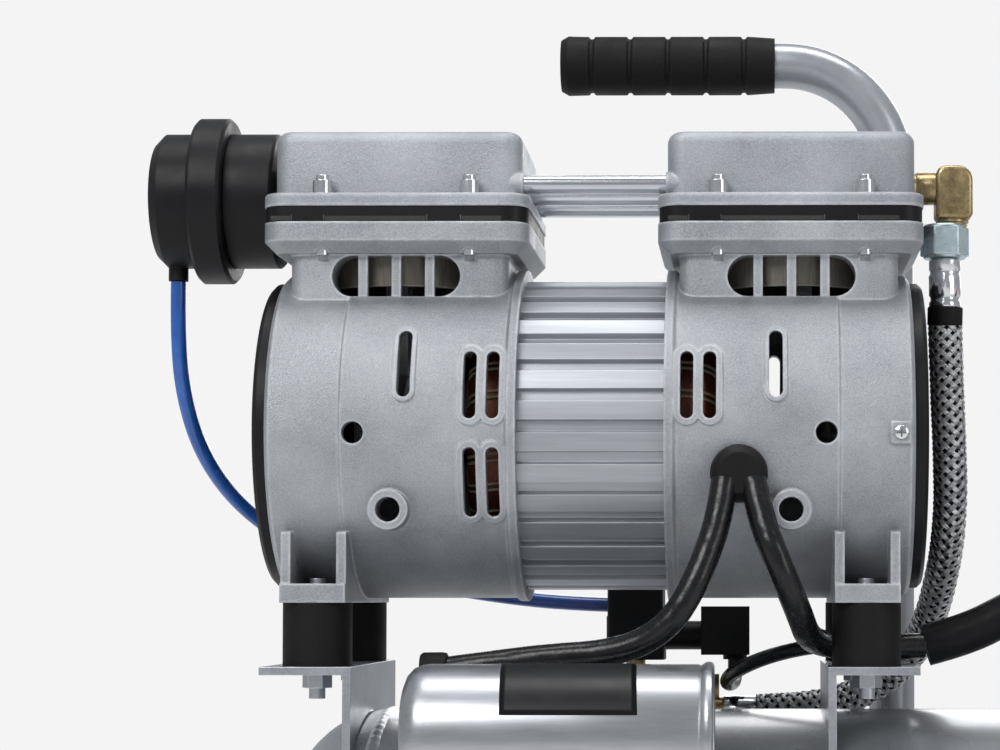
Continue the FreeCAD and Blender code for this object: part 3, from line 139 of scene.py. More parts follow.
def ranged(nodes, links, value, low, high, to_low=0.0, to_high=1.0):
    """The value moved from one range into another, and held inside it."""
    made = nodes.new("ShaderNodeMapRange")
    for name, number in (("From Min", low), ("From Max", high), ("To Min", to_low), ("To Max", to_high)):
        made.inputs[name].default_value = number
    links.new(value, made.inputs["Value"])
    return made.outputs["Result"]


def math_node(nodes, links, operation, first, second):
    """One sum of two values, where each is a socket or a number."""
    made = nodes.new("ShaderNodeMath")
    made.operation = operation
    for place, value in enumerate((first, second)):
        if isinstance(value, (int, float)):
            made.inputs[place].default_value = value
        else:
            links.new(value, made.inputs[place])
    return made.outputs[0]


def mixed(nodes, links, share, first, second):
    """Two colours mixed by a share, where each is a socket or a plain colour."""
    made = nodes.new("ShaderNodeMix")
    made.data_type = "RGBA"
    links.new(share, made.inputs["Factor"])
    for name, value in (("A", first), ("B", second)):
        socket = [s for s in made.inputs if s.name == name and s.type == "RGBA"][0]
        if isinstance(value, tuple):
            socket.default_value = (*value, 1)
        else:
            links.new(value, socket)
    return [s for s in made.outputs if s.type == "RGBA"][0]


def softened(nodes, radius):
    """The surface's direction with edges looking as if they were rounded to a radius in metres."""
    made = nodes.new("ShaderNodeBevel")
    made.samples = 4
    made.inputs["Radius"].default_value = radius
    return made.outputs["Normal"]


def worn_edges(nodes, links, spot, radius, most):
    """How pale an edge is, from wear and a painted highlight: 0 on flat ground, and patchily up to most where
    an edge is near.
    """
    facing = nodes.new("ShaderNodeVectorMath")
    facing.operation = "DOT_PRODUCT"
    links.new(softened(nodes, radius), facing.inputs[0])
    links.new(nodes.new("ShaderNodeNewGeometry").outputs["Normal"], facing.inputs[1])
    # paler near every edge: partly wear, partly a painted highlight
    rubbed_and_highlit = ranged(nodes, links, facing.outputs["Value"], 0.985, 0.86)
    patchy = ranged(nodes, links, noise(nodes, links, spot, 140.0), 0.3, 0.62, 0.25, most)
    return math_node(nodes, links, "MULTIPLY", rubbed_and_highlit, patchy)


def bumped(nodes, links, height, strength, distance):
    """A bump node on a height. Its normal output is what a shader takes."""
    made = nodes.new("ShaderNodeBump")
    made.inputs["Strength"].default_value = strength
    made.inputs["Distance"].default_value = distance
    links.new(height, made.inputs["Height"])
    return made


def finish_of(
    name, dark, light_shade, roughness, metallic=0.0, grain=900.0, bump=0.25, depth=0.0002,
    soft=0.0007, blotch=18.0, edge_wear_and_highlight=None, wear_and_highlight_share=0.8, coat=0.0, stretch=(1, 1, 1), gleam=0.5,
):
    """A worked finish: two shades in broad blotches, fine grain, uneven gloss, and softened edges paled by
    wear and by a painted highlight.

    roughness is a lowest and a highest value. grain and blotch are noise scales, depth and soft are in
    metres, edge_wear_and_highlight is the pale shade of an edge, part wear and part painted highlight,
    and gleam is the specular level."""
    made, nodes, links, shader = nodes_of(name)
    place = nodes.new("ShaderNodeTexCoord").outputs["Object"]
    scaled = nodes.new("ShaderNodeMapping")
    scaled.inputs["Scale"].default_value = stretch
    links.new(place, scaled.inputs["Vector"])
    spot = scaled.outputs["Vector"]
    broad = ranged(nodes, links, noise(nodes, links, spot, blotch, 4.0), 0.35, 0.65)
    fine = noise(nodes, links, spot, grain, 2.0, 0.7)
    speckled = ranged(nodes, links, fine, 0.3, 0.7, 0.0, 0.5)
    share = math_node(nodes, links, "ADD", math_node(nodes, links, "MULTIPLY", broad, 0.5), speckled)
    colour = mixed(nodes, links, share, dark, light_shade)
    # edges mixed towards a paler shade: partly wear, partly a painted highlight
    if edge_wear_and_highlight:
        colour = mixed(nodes, links, worn_edges(nodes, links, spot, soft * 1.6, wear_and_highlight_share), colour, edge_wear_and_highlight)
    links.new(colour, shader.inputs["Base Color"])
    uneven = noise(nodes, links, spot, blotch * 4, 3.0)
    links.new(ranged(nodes, links, uneven, 0.3, 0.7, *roughness), shader.inputs["Roughness"])
    shader.inputs["Metallic"].default_value = metallic
    shader.inputs["Specular IOR Level"].default_value = gleam
    if coat:
        shader.inputs["Coat Weight"].default_value = coat
        shader.inputs["Coat Roughness"].default_value = 0.12
    raised = bumped(nodes, links, fine, bump, depth)
    links.new(softened(nodes, soft), raised.inputs["Normal"])
    links.new(raised.outputs["Normal"], shader.inputs["Normal"])
    return made


CAST = finish_of(
    "cast_paint", (0.2, 0.212, 0.23), (0.5, 0.515, 0.54), (0.36, 0.52), metallic=0.5,
    grain=1900.0, bump=0.7, depth=0.00035, soft=0.0011, edge_wear_and_highlight=(0.86, 0.88, 0.9),
)
COVER = finish_of(
    "cast_cover", (0.24, 0.255, 0.275), (0.5, 0.52, 0.55), (0.34, 0.5), metallic=0.45,
    grain=2100.0, bump=0.7, depth=0.00035, soft=0.0014, edge_wear_and_highlight=(0.88, 0.89, 0.92),
)
EXTRUDED = finish_of(
    "extruded_metal", (0.36, 0.375, 0.4), (0.48, 0.5, 0.53), (0.36, 0.5), metallic=0.75,
    grain=500.0, bump=0.12, soft=0.0004, stretch=(0.05, 1, 1), edge_wear_and_highlight=(0.8, 0.82, 0.85),
)
TANK = finish_of(
    "tank_paint", (0.31, 0.325, 0.345), (0.38, 0.395, 0.415), (0.22, 0.32), metallic=0.6,
    grain=2600.0, bump=0.04, depth=0.00006, soft=0.001, blotch=5.0, coat=0.35,
)
ZINC = finish_of(
    "zinc_steel", (0.36, 0.375, 0.4), (0.54, 0.56, 0.59), (0.27, 0.42), metallic=0.9,
    grain=700.0, bump=0.1, soft=0.0004, edge_wear_and_highlight=(0.9, 0.9, 0.9),
)
TUBE_PAINT = finish_of(
    "handle_paint", (0.36, 0.375, 0.4), (0.45, 0.465, 0.49), (0.25, 0.38), metallic=0.6,
    grain=2200.0, bump=0.06, depth=0.0001, coat=0.35,
)
CHROME = finish_of(
    "bright_nickel", (0.62, 0.63, 0.65), (0.8, 0.81, 0.83), (0.1, 0.24), metallic=1.0,
    grain=900.0, bump=0.06, soft=0.0004, edge_wear_and_highlight=(0.95, 0.95, 0.95),
)
BRASS = finish_of(
    "aged_brass", (0.25, 0.18, 0.09), (0.54, 0.42, 0.22), (0.22, 0.44), metallic=0.95,
    grain=800.0, bump=0.25, depth=0.00015, blotch=60.0, soft=0.0006, edge_wear_and_highlight=(0.85, 0.72, 0.42),
)
COPPER = finish_of(
    "varnished_copper", (0.09, 0.022, 0.012), (0.26, 0.085, 0.04), (0.3, 0.5), metallic=0.4,
    grain=1800.0, bump=0.6, depth=0.0004, blotch=90.0, stretch=(1, 0.25, 0.25),
)
PLASTIC = finish_of(
    "black_plastic", (0.004, 0.004, 0.005), (0.009, 0.009, 0.010), (0.36, 0.52), grain=1500.0, bump=0.25,
    depth=0.00015, soft=0.0009, edge_wear_and_highlight=(0.02, 0.02, 0.022), wear_and_highlight_share=0.4, gleam=0.22,
)
RUBBER = finish_of(
    "black_rubber", (0.005, 0.005, 0.005), (0.011, 0.011, 0.011), (0.5, 0.68), grain=1100.0, bump=0.4,
    depth=0.0002, soft=0.0008, edge_wear_and_highlight=(0.02, 0.02, 0.02), wear_and_highlight_share=0.4, gleam=0.18,
)
IRON = finish_of(
    "dark_iron", (0.12, 0.12, 0.125), (0.24, 0.24, 0.25), (0.35, 0.6), metallic=0.8,
    grain=800.0, bump=0.3,
)
FOAM = finish_of(
    "filter_foam", (0.5, 0.47, 0.4), (0.72, 0.69, 0.6), (0.85, 0.98),
    grain=900.0, bump=1.0, depth=0.0008,
)
SEAL = finish_of(
    "seal_resin", (0.66, 0.62, 0.52), (0.8, 0.77, 0.68), (0.35, 0.5),
    grain=900.0, bump=0.15,
)
RED = finish_of(
    "red_plastic", (0.42, 0.02, 0.015), (0.6, 0.04, 0.03), (0.28, 0.42),
    grain=900.0, bump=0.15, edge_wear_and_highlight=(0.75, 0.2, 0.16), wear_and_highlight_share=0.5,
)
CAN = finish_of(
    "can_metal", (0.38, 0.39, 0.41), (0.5, 0.51, 0.54), (0.26, 0.4), metallic=0.9,
    grain=600.0, bump=0.06, stretch=(0.1, 1, 1), soft=0.0006,
)
FINISHES = {
    "tank_paint": TANK, "cast_aluminium": CAST, "extruded_aluminium": EXTRUDED,
    "handle_paint": TUBE_PAINT, "black_plastic": PLASTIC, "black_rubber": RUBBER,
    "zinc_steel": ZINC, "braided_steel": ZINC,
    "brass": BRASS, "copper": COPPER, "chrome": CHROME, "blue_tube": PLASTIC, "foam": FOAM, "seal": SEAL,
    "red_plastic": RED, "iron": IRON, "can_metal": CAN, "capacitor_cradle": ZINC,
}


def put_in_scene(name, data, finish):
    """An object for a mesh or a curve, with one finish, that rides on the fixed body."""
    made = bpy.data.objects.new(name, data)
    bpy.context.scene.collection.objects.link(made)
    data.materials.append(finish)
    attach(made, "frame")
    return made


def meshed(name, corners, faces):
    """A smooth-shaded mesh from its corners and faces."""
    made = bpy.data.meshes.new(name)
    made.from_pydata(corners, [], faces)
    made.polygons.foreach_set("use_smooth", [True] * len(faces))
    return made


def in_metres(route):
    """A route in millimetres from the pump's middle, as points in metres in the frame."""
    return [(x / 1000 + PUMP_X, y / 1000, z / 1000) for x, y, z in route]


def spline(name, route, radius):
    """A smooth curve of one open spline that has the route's points as its control points."""
    data = bpy.data.curves.new(name, "CURVE")
    data.dimensions = "3D"
    data.resolution_u = 10
    data.bevel_depth = radius
    data.bevel_resolution = 6
    data.use_fill_caps = True
    line = data.splines.new("NURBS")
    line.points.add(len(route) - 1)
    for point, place in zip(line.points, route):
        point.co = (*place, 1)
    line.order_u = 3
    line.use_endpoint_u = True
    return data


def line_of(name, route):
    """Points along the route's smooth curve, read from the curve with no thickness."""
    bare = bpy.data.objects.new(name, spline(name, route, 0.0))
    bpy.context.scene.collection.objects.link(bare)
    bpy.context.view_layer.update()
    mesh = bpy.data.meshes.new_from_object(bare)
    points = [vertex.co.copy() for vertex in mesh.vertices]
    bpy.data.meshes.remove(mesh)
    bpy.data.objects.remove(bare)
    return points


def evenly(points, gap):
    """The same line with its points an even gap apart."""
    lengths = [0.0]
    for a, b in zip(points, points[1:]):
        lengths.append(lengths[-1] + (b - a).length)
    count = max(2, round(lengths[-1] / gap))
    out, k = [], 0
    for i in range(count + 1):
        along = lengths[-1] * i / count
        while k < len(points) - 2 and lengths[k + 1] < along:
            k += 1
        share = (along - lengths[k]) / max(lengths[k + 1] - lengths[k], 1e-9)
        out.append(points[k].lerp(points[k + 1], min(max(share, 0.0), 1.0)))
    return out


def carried_frames(points):
    """Each point with two sideways axes, which don't twist from one point to the next."""
    frames = []
    ahead = (points[1] - points[0]).normalized()
    across = ahead.orthogonal().normalized()
    for i, point in enumerate(points):
        now = (points[min(i + 1, len(points) - 1)] - points[max(i - 1, 0)]).normalized()
        across = (across - now * across.dot(now)).normalized()
        frames.append((point, across, now.cross(across)))
    return frames


def tubes(name, lines, radius, sides):
    """One mesh of thin closed tubes, each along its own line of points."""
    corners, faces = [], []
    for line in lines:
        first = len(corners)
        for point, across, over in carried_frames(line):
            for k in range(sides):
                turn = 2 * math.pi * k / sides
                corners.append(point + radius * (math.cos(turn) * across + math.sin(turn) * over))
        for i in range(len(line) - 1):
            for k in range(sides):
                a, b = first + i * sides + k, first + i * sides + (k + 1) % sides
                faces.append((a, b, b + sides, a + sides))
        faces.append(tuple(first + k for k in reversed(range(sides))))
        last = first + (len(line) - 1) * sides
        faces.append(tuple(last + k for k in range(sides)))
    return meshed(name, corners, faces)


# The cords' routes, the same as their CAD solids': millimetres from the pump's middle and the ground.
HOSE = [
    (134, 0, 424.6), (134.8, 3, 397), (136.4, 8, 370), (137.2, 15.5, 348), (136, 25, 330),
    (134, 36, 317), (131.5, 48, 305.5), (128, 59, 295.5), (121, 66.5, 286), (111, 69.6, 277.6),
    (99, 70.4, 271.6), (86, 70.6, 268.3), (73, 70.3, 267), (61.2, 70, 266.5),
]
TUBE = [
    (-164, 0, 435.8), (-164.4, 1, 414), (-163, 6, 391), (-158.5, 18, 370), (-149, 36, 352),
    (-134, 54, 338), (-113, 67, 328), (-88, 75, 321), (-62, 78.4, 316), (-38, 79, 312.5),
    (-17, 78.4, 310.6), (-1, 78, 310),
]
CAPACITOR_LEAD = [
    (49.3, -66, 355), (47.5, -70.5, 342), (43, -76, 328), (37.5, -79.5, 315), (30, -80, 303.5),
    (19, -77.5, 296), (5, -74.8, 292.6), (-13, -73, 291.4), (-31, -72.2, 289.3), (-49.6, -71.7, 286.8),
]
MOTOR_LEAD = [
    (59.7, -66, 355), (62.3, -71.5, 342), (67.4, -76, 328), (73, -72.5, 315), (77, -61, 305.5),
    (79.5, -46, 299), (84, -31, 296), (92.5, -18.5, 294.6), (104, -9.5, 294), (124.9, -5.2, 294.4),
]
VALVE_LEAD = [
    (52, 78, 287.4), (52, 78, 281.9), (51.7, 74.1, 278), (49.8, 63.5, 277.4), (48.6, 52, 279),
    (51, 40, 282.6), (59, 28, 287.2), (70.5, 18, 291.4), (84, 11, 294.2), (98, 6.5, 295),
    (111, 4, 294.8), (124.9, 3.1, 294.9),
]
DUCT = [
    (126, -2, 294.5), (141, -2, 298.4), (157, -1.4, 306.3), (175, -0.6, 316), (191, 0, 325.6),
    (204, 0, 333), (216, 0, 337),
]


def wrinkled(name, dark, light_shade, roughness, size, depth, gleam):
    """A glossy sleeve with soft creases across it and fine scuffs, its colour darker where the creases sink:
    painted shade.
    """
    made, nodes, links, shader = nodes_of(name)
    spot = nodes.new("ShaderNodeTexCoord").outputs["Object"]
    creases = noise(nodes, links, spot, size, 3.0, 0.55)
    folds = nodes.new("ShaderNodeTexWave")
    folds.wave_type = "BANDS"
    folds.bands_direction = "Z"
    folds.inputs["Scale"].default_value = size * 0.35
    folds.inputs["Distortion"].default_value = 9.0
    folds.inputs["Detail"].default_value = 2.0
    links.new(spot, folds.inputs["Vector"])
    height = math_node(
        nodes, links, "ADD", creases, math_node(nodes, links, "MULTIPLY", folds.outputs["Fac"], 0.35))
    links.new(bumped(nodes, links, height, 0.55, depth).outputs["Normal"], shader.inputs["Normal"])
    # darker where the creases sink: painted shade in the creases
    colour = mixed(nodes, links, ranged(nodes, links, creases, 0.35, 0.7), dark, light_shade)
    links.new(colour, shader.inputs["Base Color"])
    scuffs = noise(nodes, links, spot, size * 5, 2.0)
    links.new(ranged(nodes, links, scuffs, 0.3, 0.7, *roughness), shader.inputs["Roughness"])
    shader.inputs["Specular IOR Level"].default_value = gleam
    return made


LEAD = wrinkled(
    "black_sleeving", (0.004, 0.004, 0.005), (0.008, 0.008, 0.009), (0.2, 0.36),
    size=110.0, depth=0.0006, gleam=0.36,
)
DUCTING = wrinkled(
    "black_duct", (0.005, 0.005, 0.006), (0.009, 0.009, 0.010), (0.42, 0.6),
    size=90.0, depth=0.0008, gleam=0.2,
)
WIRE = finish_of(
    "braid_wire", (0.42, 0.42, 0.43), (0.72, 0.72, 0.73), (0.2, 0.4), metallic=1.0,
    grain=1500.0, bump=0.2, soft=0.00005, blotch=70.0,
)


def blue_plastic():
    """Clear blue polyurethane with a faint haze."""
    made, nodes, links, shader = nodes_of("blue_tube")
    spot = nodes.new("ShaderNodeTexCoord").outputs["Object"]
    haze = noise(nodes, links, spot, 60.0, 3.0)
    cloudy = ranged(nodes, links, haze, 0.3, 0.7)
    colour = mixed(nodes, links, cloudy, (0.006, 0.075, 0.33), (0.012, 0.13, 0.5))
    links.new(colour, shader.inputs["Base Color"])
    links.new(ranged(nodes, links, haze, 0.3, 0.7, 0.14, 0.26), shader.inputs["Roughness"])
    shader.inputs["Coat Weight"].default_value = 0.4
    shader.inputs["Subsurface Weight"].default_value = 0.15
    raised = bumped(nodes, links, noise(nodes, links, spot, 900.0, 2.0), 0.15, 0.0003)
    links.new(raised.outputs["Normal"], shader.inputs["Normal"])
    return made


def braid(core_line):
    """The woven wires of the hose: bands of wires wound both ways, each over one and under the next."""
    radius, wire_radius = 0.00615, 0.00033
    pitch, step_length = 0.036, 0.0006
    carriers, wires = 8, 4
    points = evenly(core_line, step_length)
    frames = carried_frames(points)
    step = (points[1] - points[0]).length
    spread = 2 * wire_radius * 0.96
    lines = []
    for way in (-1, 1):
        for carrier in range(carriers):
            for wire in range(wires):
                beside = (wire - (wires - 1) / 2) * spread / radius
                line = []
                for i, (point, across, over) in enumerate(frames):
                    turn = way * 2 * math.pi * (i * step / pitch + carrier / carriers) + beside
                    lift = way * math.cos(carriers * 2 * math.pi * i * step / pitch)
                    reach = radius + lift * wire_radius * 1.05
                    line.append(point + reach * (math.cos(turn) * across + math.sin(turn) * over))
                lines.append(line)
    return tubes("hose_braid", lines, wire_radius, 4)


def cords():
    """Every hose, tube and lead, each on the same route as its CAD solid."""
    hose_route = in_metres(HOSE)
    hose_radius = 0.0058
    hose = put_in_scene("braided_hose_core", spline("braided_hose_core", hose_route, hose_radius), RUBBER)
    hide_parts("braided_hose")
    weave = put_in_scene("hose_braid", braid(line_of("hose_line", hose_route)), WIRE)
    rows = (
        ("blue_tube", TUBE, 0.003, 0.2653, blue_plastic(), "blue_tube", "medium"),
        ("capacitor_lead", CAPACITOR_LEAD, 0.005, 0.1406, LEAD, "black_rubber", "medium"),
        ("motor_lead", MOTOR_LEAD, 0.005, 0.1422, LEAD, "black_rubber", "medium"),
        ("valve_lead", VALVE_LEAD, 0.003, 0.1336, LEAD, "black_rubber", "medium"),
        ("cable_sleeve", DUCT, 0.008, 0.1000, DUCTING, "black_rubber", "stiff"),
    )
    for node, route, radius, length, finish, slot, stiffness in rows:
        places = in_metres(route)
        piece = put_in_scene(f"{node}_line", spline(f"{node}_line", places, radius), finish)
        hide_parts(node)


def at(x, y, z):
    """A point in metres from millimetres in the frame."""
    return Vector((x / 1000, y / 1000, z / 1000))


def lathe(name, profile, centre, axis, finish, sides, wobble=None):
    """A turned piece from (radius, distance along the axis) pairs in millimetres, smooth where it is round.

    wobble, a function of the turn and the distance, is added to the radius."""
    along = Vector(axis).normalized()
    across = along.orthogonal().normalized()
    over = along.cross(across)
    form = bmesh.new()
    rings = []
    for radius, reach in profile:
        ring = []
        for k in range(sides):
            turn = 2 * math.pi * k / sides
            size = radius + (wobble(turn, reach) if wobble else 0.0)
            spot = at(*centre) + along * (reach / 1000)
            outward = math.cos(turn) * across + math.sin(turn) * over
            ring.append(form.verts.new(spot + outward * (size / 1000)))
        rings.append(ring)
    for low, high in zip(rings, rings[1:]):
        for k in range(sides):
            form.faces.new((low[k], low[(k + 1) % sides], high[(k + 1) % sides], high[k]))
    form.faces.new(list(reversed(rings[0])))
    form.faces.new(rings[-1])
    mesh = bpy.data.meshes.new(name)
    form.to_mesh(mesh)
    form.free()
    mesh.polygons.foreach_set("use_smooth", [True] * len(mesh.polygons))
    made = put_in_scene(name, mesh, finish)
    mesh.set_sharp_from_angle(angle=math.radians(40))
    return made


def moulded(name, outline, low, high, finish, bevel, steps=3, lean=lambda u, v, w: (u, w, v)):
    """A flat outline in millimetres given depth, with edges rounded by bevel metres.

    lean turns the outline's (u, v) and the depth w into (x, y, z). Left alone, the outline stands upright
    and faces the front."""
    form = bmesh.new()
    front = [form.verts.new(at(*lean(u, v, low))) for u, v in outline]
    back = [form.verts.new(at(*lean(u, v, high))) for u, v in outline]
    form.faces.new(front)
    form.faces.new(list(reversed(back)))
    for k in range(len(outline)):
        after = (k + 1) % len(outline)
        form.faces.new((front[after], front[k], back[k], back[after]))
    bmesh.ops.recalc_face_normals(form, faces=form.faces)
    mesh = bpy.data.meshes.new(name)
    form.to_mesh(mesh)
    form.free()
    made = put_in_scene(name, mesh, finish)
    if bevel:
        rounded = made.modifiers.new("rounded", "BEVEL")
        rounded.width = bevel
        rounded.segments = steps
        rounded.limit_method = "ANGLE"
        rounded.angle_limit = math.radians(35)
    mesh.polygons.foreach_set("use_smooth", [True] * len(mesh.polygons))
    mesh.set_sharp_from_angle(angle=math.radians(50))
    return made


def rectangle(left, right, low, high):
    """The four corners of an upright rectangle."""
    return [(left, low), (right, low), (right, high), (left, high)]


PALE_ZINC = finish_of(
    "pale_zinc", (0.43, 0.55, 0.6), (0.66, 0.76, 0.8), (0.25, 0.42), metallic=0.7,
    grain=900.0, bump=0.1, soft=0.0004, blotch=90.0, edge_wear_and_highlight=(0.8, 0.86, 0.88),
)
SLEEVE = finish_of(
    "honed_sleeve", (0.10, 0.09, 0.075), (0.2, 0.185, 0.16), (0.3, 0.5), metallic=0.7,
    grain=900.0, bump=0.2, stretch=(1, 1, 0.1), edge_wear_and_highlight=(0.6, 0.58, 0.55),
)
PIPE = finish_of(
    "drawn_pipe", (0.52, 0.54, 0.57), (0.7, 0.72, 0.75), (0.12, 0.26), metallic=1.0,
    grain=700.0, bump=0.08, stretch=(0.05, 1, 1),
)
LABEL = finish_of(
    "dark_label", (0.007, 0.007, 0.008), (0.013, 0.013, 0.015), (0.3, 0.42),
    grain=1200.0, bump=0.05, gleam=0.25,
)
LACING = finish_of(
    "cream_cord", (0.3, 0.25, 0.14), (0.52, 0.46, 0.3), (0.6, 0.8),
    grain=2500.0, bump=0.8, depth=0.0003,
)
DIAL = finish_of(
    "dial_white", (0.72, 0.72, 0.7), (0.8, 0.8, 0.78), (0.4, 0.55),
    grain=1500.0, bump=0.05,
)
INK = finish_of(
    "dial_ink", (0.012, 0.012, 0.012), (0.03, 0.03, 0.03), (0.5, 0.65),
    grain=1500.0, bump=0.1,
)


def capacitor():
    """The can with its rounded end and rolled seam, its plain dark label and the lead's boot."""
    can_y, can_z, can_radius = -93, 264, 25.6
    rounded_end = [(0.5, 0), (14, 0.1), (18.5, 0.7), (21.8, 2.0), (24.2, 4.2), (25.3, 7.0)]
    wall = [(can_radius, 10.0), (can_radius, 60.0), (can_radius, 103.6)]
    seam = [(25.2, 104.4), (25.6, 105.2), (26.4, 106.2), (26.5, 107.4), (26.3, 108.4), (25.4, 109),
            (24.0, 108.7), (23.4, 107.2), (0.5, 107.0)]
    can = lathe("capacitor_body", rounded_end + wall + seam, (-193, can_y, can_z), (1, 0, 0), CAN,
                sides=96)
    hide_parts("capacitor_can")
    boot = lathe("capacitor_boot", [(2, 0), (5.6, 0.2), (6.4, 1.2), (6.5, 8), (6.2, 9.6), (5.4, 10), (2, 10)],
                 (-190, -71.5, 286.8), (1, 0, 0), RUBBER, sides=32)
    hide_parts("capacitor_can")
    # the label: a thin sheet bent round the can, from 20 to 106 degrees up from its front, cut a little askew
    columns, rows = 24, 20
    start, length, skew = -158.7, 47.2, 1.6
    reach = can_radius + 0.16
    corners, faces = [], []
    for i in range(columns + 1):
        for j in range(rows + 1):
            angle = math.radians(20 + 86 * j / rows)
            slide = start + length * i / columns + skew * (1 - j / rows)
            corners.append(at(slide, can_y - reach * math.cos(angle), can_z + reach * math.sin(angle)))
    for i in range(columns):
        for j in range(rows):
            a = i * (rows + 1) + j
            faces.append((a, a + 1, a + rows + 2, a + rows + 1))
    label = put_in_scene("capacitor_label", meshed("capacitor_label", corners, faces), LABEL)
    thick = label.modifiers.new("film", "SOLIDIFY")
    thick.thickness = 0.00012
    thick.offset = 0


def elbow():
    """Aged brass elbow: a forged block with one big outer corner, a stub into the head, a neck to the nut."""
    corner_x, corner_z, corner_radius = 8.9, 474.4, 5.6
    block = [(0.2, 459.5), (0.2, 476.6), (1.5, 479.3), (4.0, 480.0)]
    for step in range(7):
        turn = math.radians(90 - 15 * step)
        block.append((corner_x + corner_radius * math.cos(turn), corner_z + corner_radius * math.sin(turn)))
    block += [(14.5, 461.2), (13.4, 459.0)]
    body = moulded("elbow_body", block, -7.5, 7.5, BRASS, bevel=0.0016, steps=4)
    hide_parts("brass_elbow")
    stub_threads = [(5.7, 0), (6.1, 0.5), (5.9, 1.0), (6.1, 1.5), (5.9, 2.0)]
    stub = lathe("elbow_stub", [(1, 0), *stub_threads, (6.3, 2.6), (6.3, 10.2), (1, 10.2)],
                 (-9.4, 0, 471.7), (1, 0, 0), BRASS, sides=40)
    neck_threads = [(5.6, 0), (6.0, 0.5), (5.6, 1.0), (6.0, 1.5), (5.6, 2.0)]
    neck = lathe("elbow_neck", [(1, 0), *neck_threads, (6.4, 2.6), (6.4, 4.2), (1, 4.2)],
                 (7, 0, 455.8), (0, 0, 1), BRASS, sides=40)
    for piece in (stub, neck):
        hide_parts("brass_elbow")


def hose_ends():
    """The pale hex nut with chamfered corners, the crimped ferrules and the rubber band under them."""
    nut_x, nut_radius = 4, 9.6
    turns = [k * math.pi / 3 for k in range(6)]
    outline = [(nut_x + nut_radius * math.cos(turn), nut_radius * math.sin(turn)) for turn in turns]
    nut = moulded("hose_nut", outline, 445.2, 456.6, PALE_ZINC, bevel=0.0006,
                  lean=lambda u, v, w: (u, v, w))
    for name, start, way in (("hose_nut_face", 456.5, 1), ("hose_nut_foot", 445.3, -1)):
        face = lathe(name, [(3, 0), (8.5, 0), (7.9, 0.9), (3, 0.9)], (nut_x, 0, start), (0, 0, way),
                     PALE_ZINC, sides=48)
        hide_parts("hose_fittings")
    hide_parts("hose_fittings")
    crimp = [(3, 0), (5.9, 0), (6.1, 0.6), (6.1, 2.2), (5.6, 2.8), (5.6, 4.2), (6.1, 4.8), (6.1, 12.4),
             (5.7, 13.0), (5.7, 14.2), (6.1, 14.8), (6.1, 18.2), (5.4, 19), (3, 19)]
    top = lathe("hose_ferrule", crimp, (nut_x, 0, 425.2), (0, 0, 1), CHROME, sides=56,
                wobble=lambda turn, reach: 0.12 * math.cos(8 * turn) if 4.8 < reach < 12.5 else 0.0)
    low = lathe("hose_tail", [(3, 0), (5.6, 0), (6.1, 0.6), (6.1, 13.4), (5.6, 14), (3, 14)],
                (-83, 70, 266.5), (1, 0, 0), CHROME, sides=48)
    band = lathe("hose_band", [(5.8, 0), (6.75, 0.2), (6.85, 0.8), (6.85, 6.6), (6.6, 7.2), (5.8, 7.2)],
                 (4.02, 0.35, 418.4), (0.02, -0.09, 1), RUBBER, sides=48)
    for piece in (top, low):
        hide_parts("hose_fittings")


def pad_and_screw():
    """The small cast pad with a cross-slotted screw on the right bell, its cross slot drawn as two dark bars
    of painted shade.
    """
    screw_x, screw_z = -16.5, 372.9
    moulded("earth_pad", rectangle(-20.5, -12.5, 368.6, 377.2), -62.9, -60.0, CAST,
            bevel=0.0007)
    lathe("earth_screw", [(2.6, 0), (2.75, 0.3), (2.5, 1.0), (1.6, 1.45), (0.3, 1.55)],
          (screw_x, -62.8, screw_z), (0, -1, 0), CHROME, sides=32)
    # the cross slot: two dark bars on the head, painted shade in place of a recess
    for name, wide, tall in (("earth_slot_shade_across", 1.7, 0.32), ("earth_slot_shade_up", 0.32, 1.7)):
        arm = rectangle(screw_x - wide, screw_x + wide, screw_z - tall, screw_z + tall)
        moulded(name, arm, -64.42, -63.8, IRON, bevel=0.00012, steps=1)


def lacing():
    """Cream cord laced round the end windings, which shows through the vents."""
    steps, loops = 640, 26
    lines = []
    for middle, way in ((-165.75, -1), (-94.25, 1)):
        for phase in (0.0, 0.19):
            line = []
            for step in range(steps):
                share = step / (steps - 1)
                round_axis = 2 * math.pi * share + phase
                small = 2 * math.pi * loops * share * way
                reach = 41.2 + 7.3 * math.copysign(abs(math.cos(small)) ** 0.5, math.cos(small))
                slide = middle + 10.6 * math.copysign(abs(math.sin(small)) ** 0.7, math.sin(small))
                line.append(at(slide, reach * math.cos(round_axis), AXIS_Z + reach * math.sin(round_axis)))
            lines.append(line)
    laced = put_in_scene("winding_lacing", tubes("winding_lacing", lines, 0.00055, 6), LACING)


def plate_slots():
    """Machined nicks, and dark sheets of painted shade over the slots, along the lower half of each black
    valve plate.
    """
    nicks = ((-38.4, -38.1), (-26.4, -26.1), (12.1, 12.4), (24.6, 24.9))
    shaded_gaps = ((-46, -38.5), (-26, 12), (25, 40))
    for side, middle in (("left", -204), ("right", -56)):
        for number, (start, end) in enumerate(nicks):
            moulded(f"plate_nick_{side}_{number}", rectangle(middle + start, middle + end, 453.1, 455.4),
                    -44.6, -44.3, IRON, bevel=0.00008, steps=1)
        # the slots: thin dark sheets of painted shade in place of the shadow in the gaps
        for number, (start, end) in enumerate(shaded_gaps):
            moulded(f"plate_gap_shade_{side}_{number}", rectangle(middle + start, middle + end, 453.0, 454.9),
                    -44.56, -44.3, INK, bevel=0.00008, steps=1)


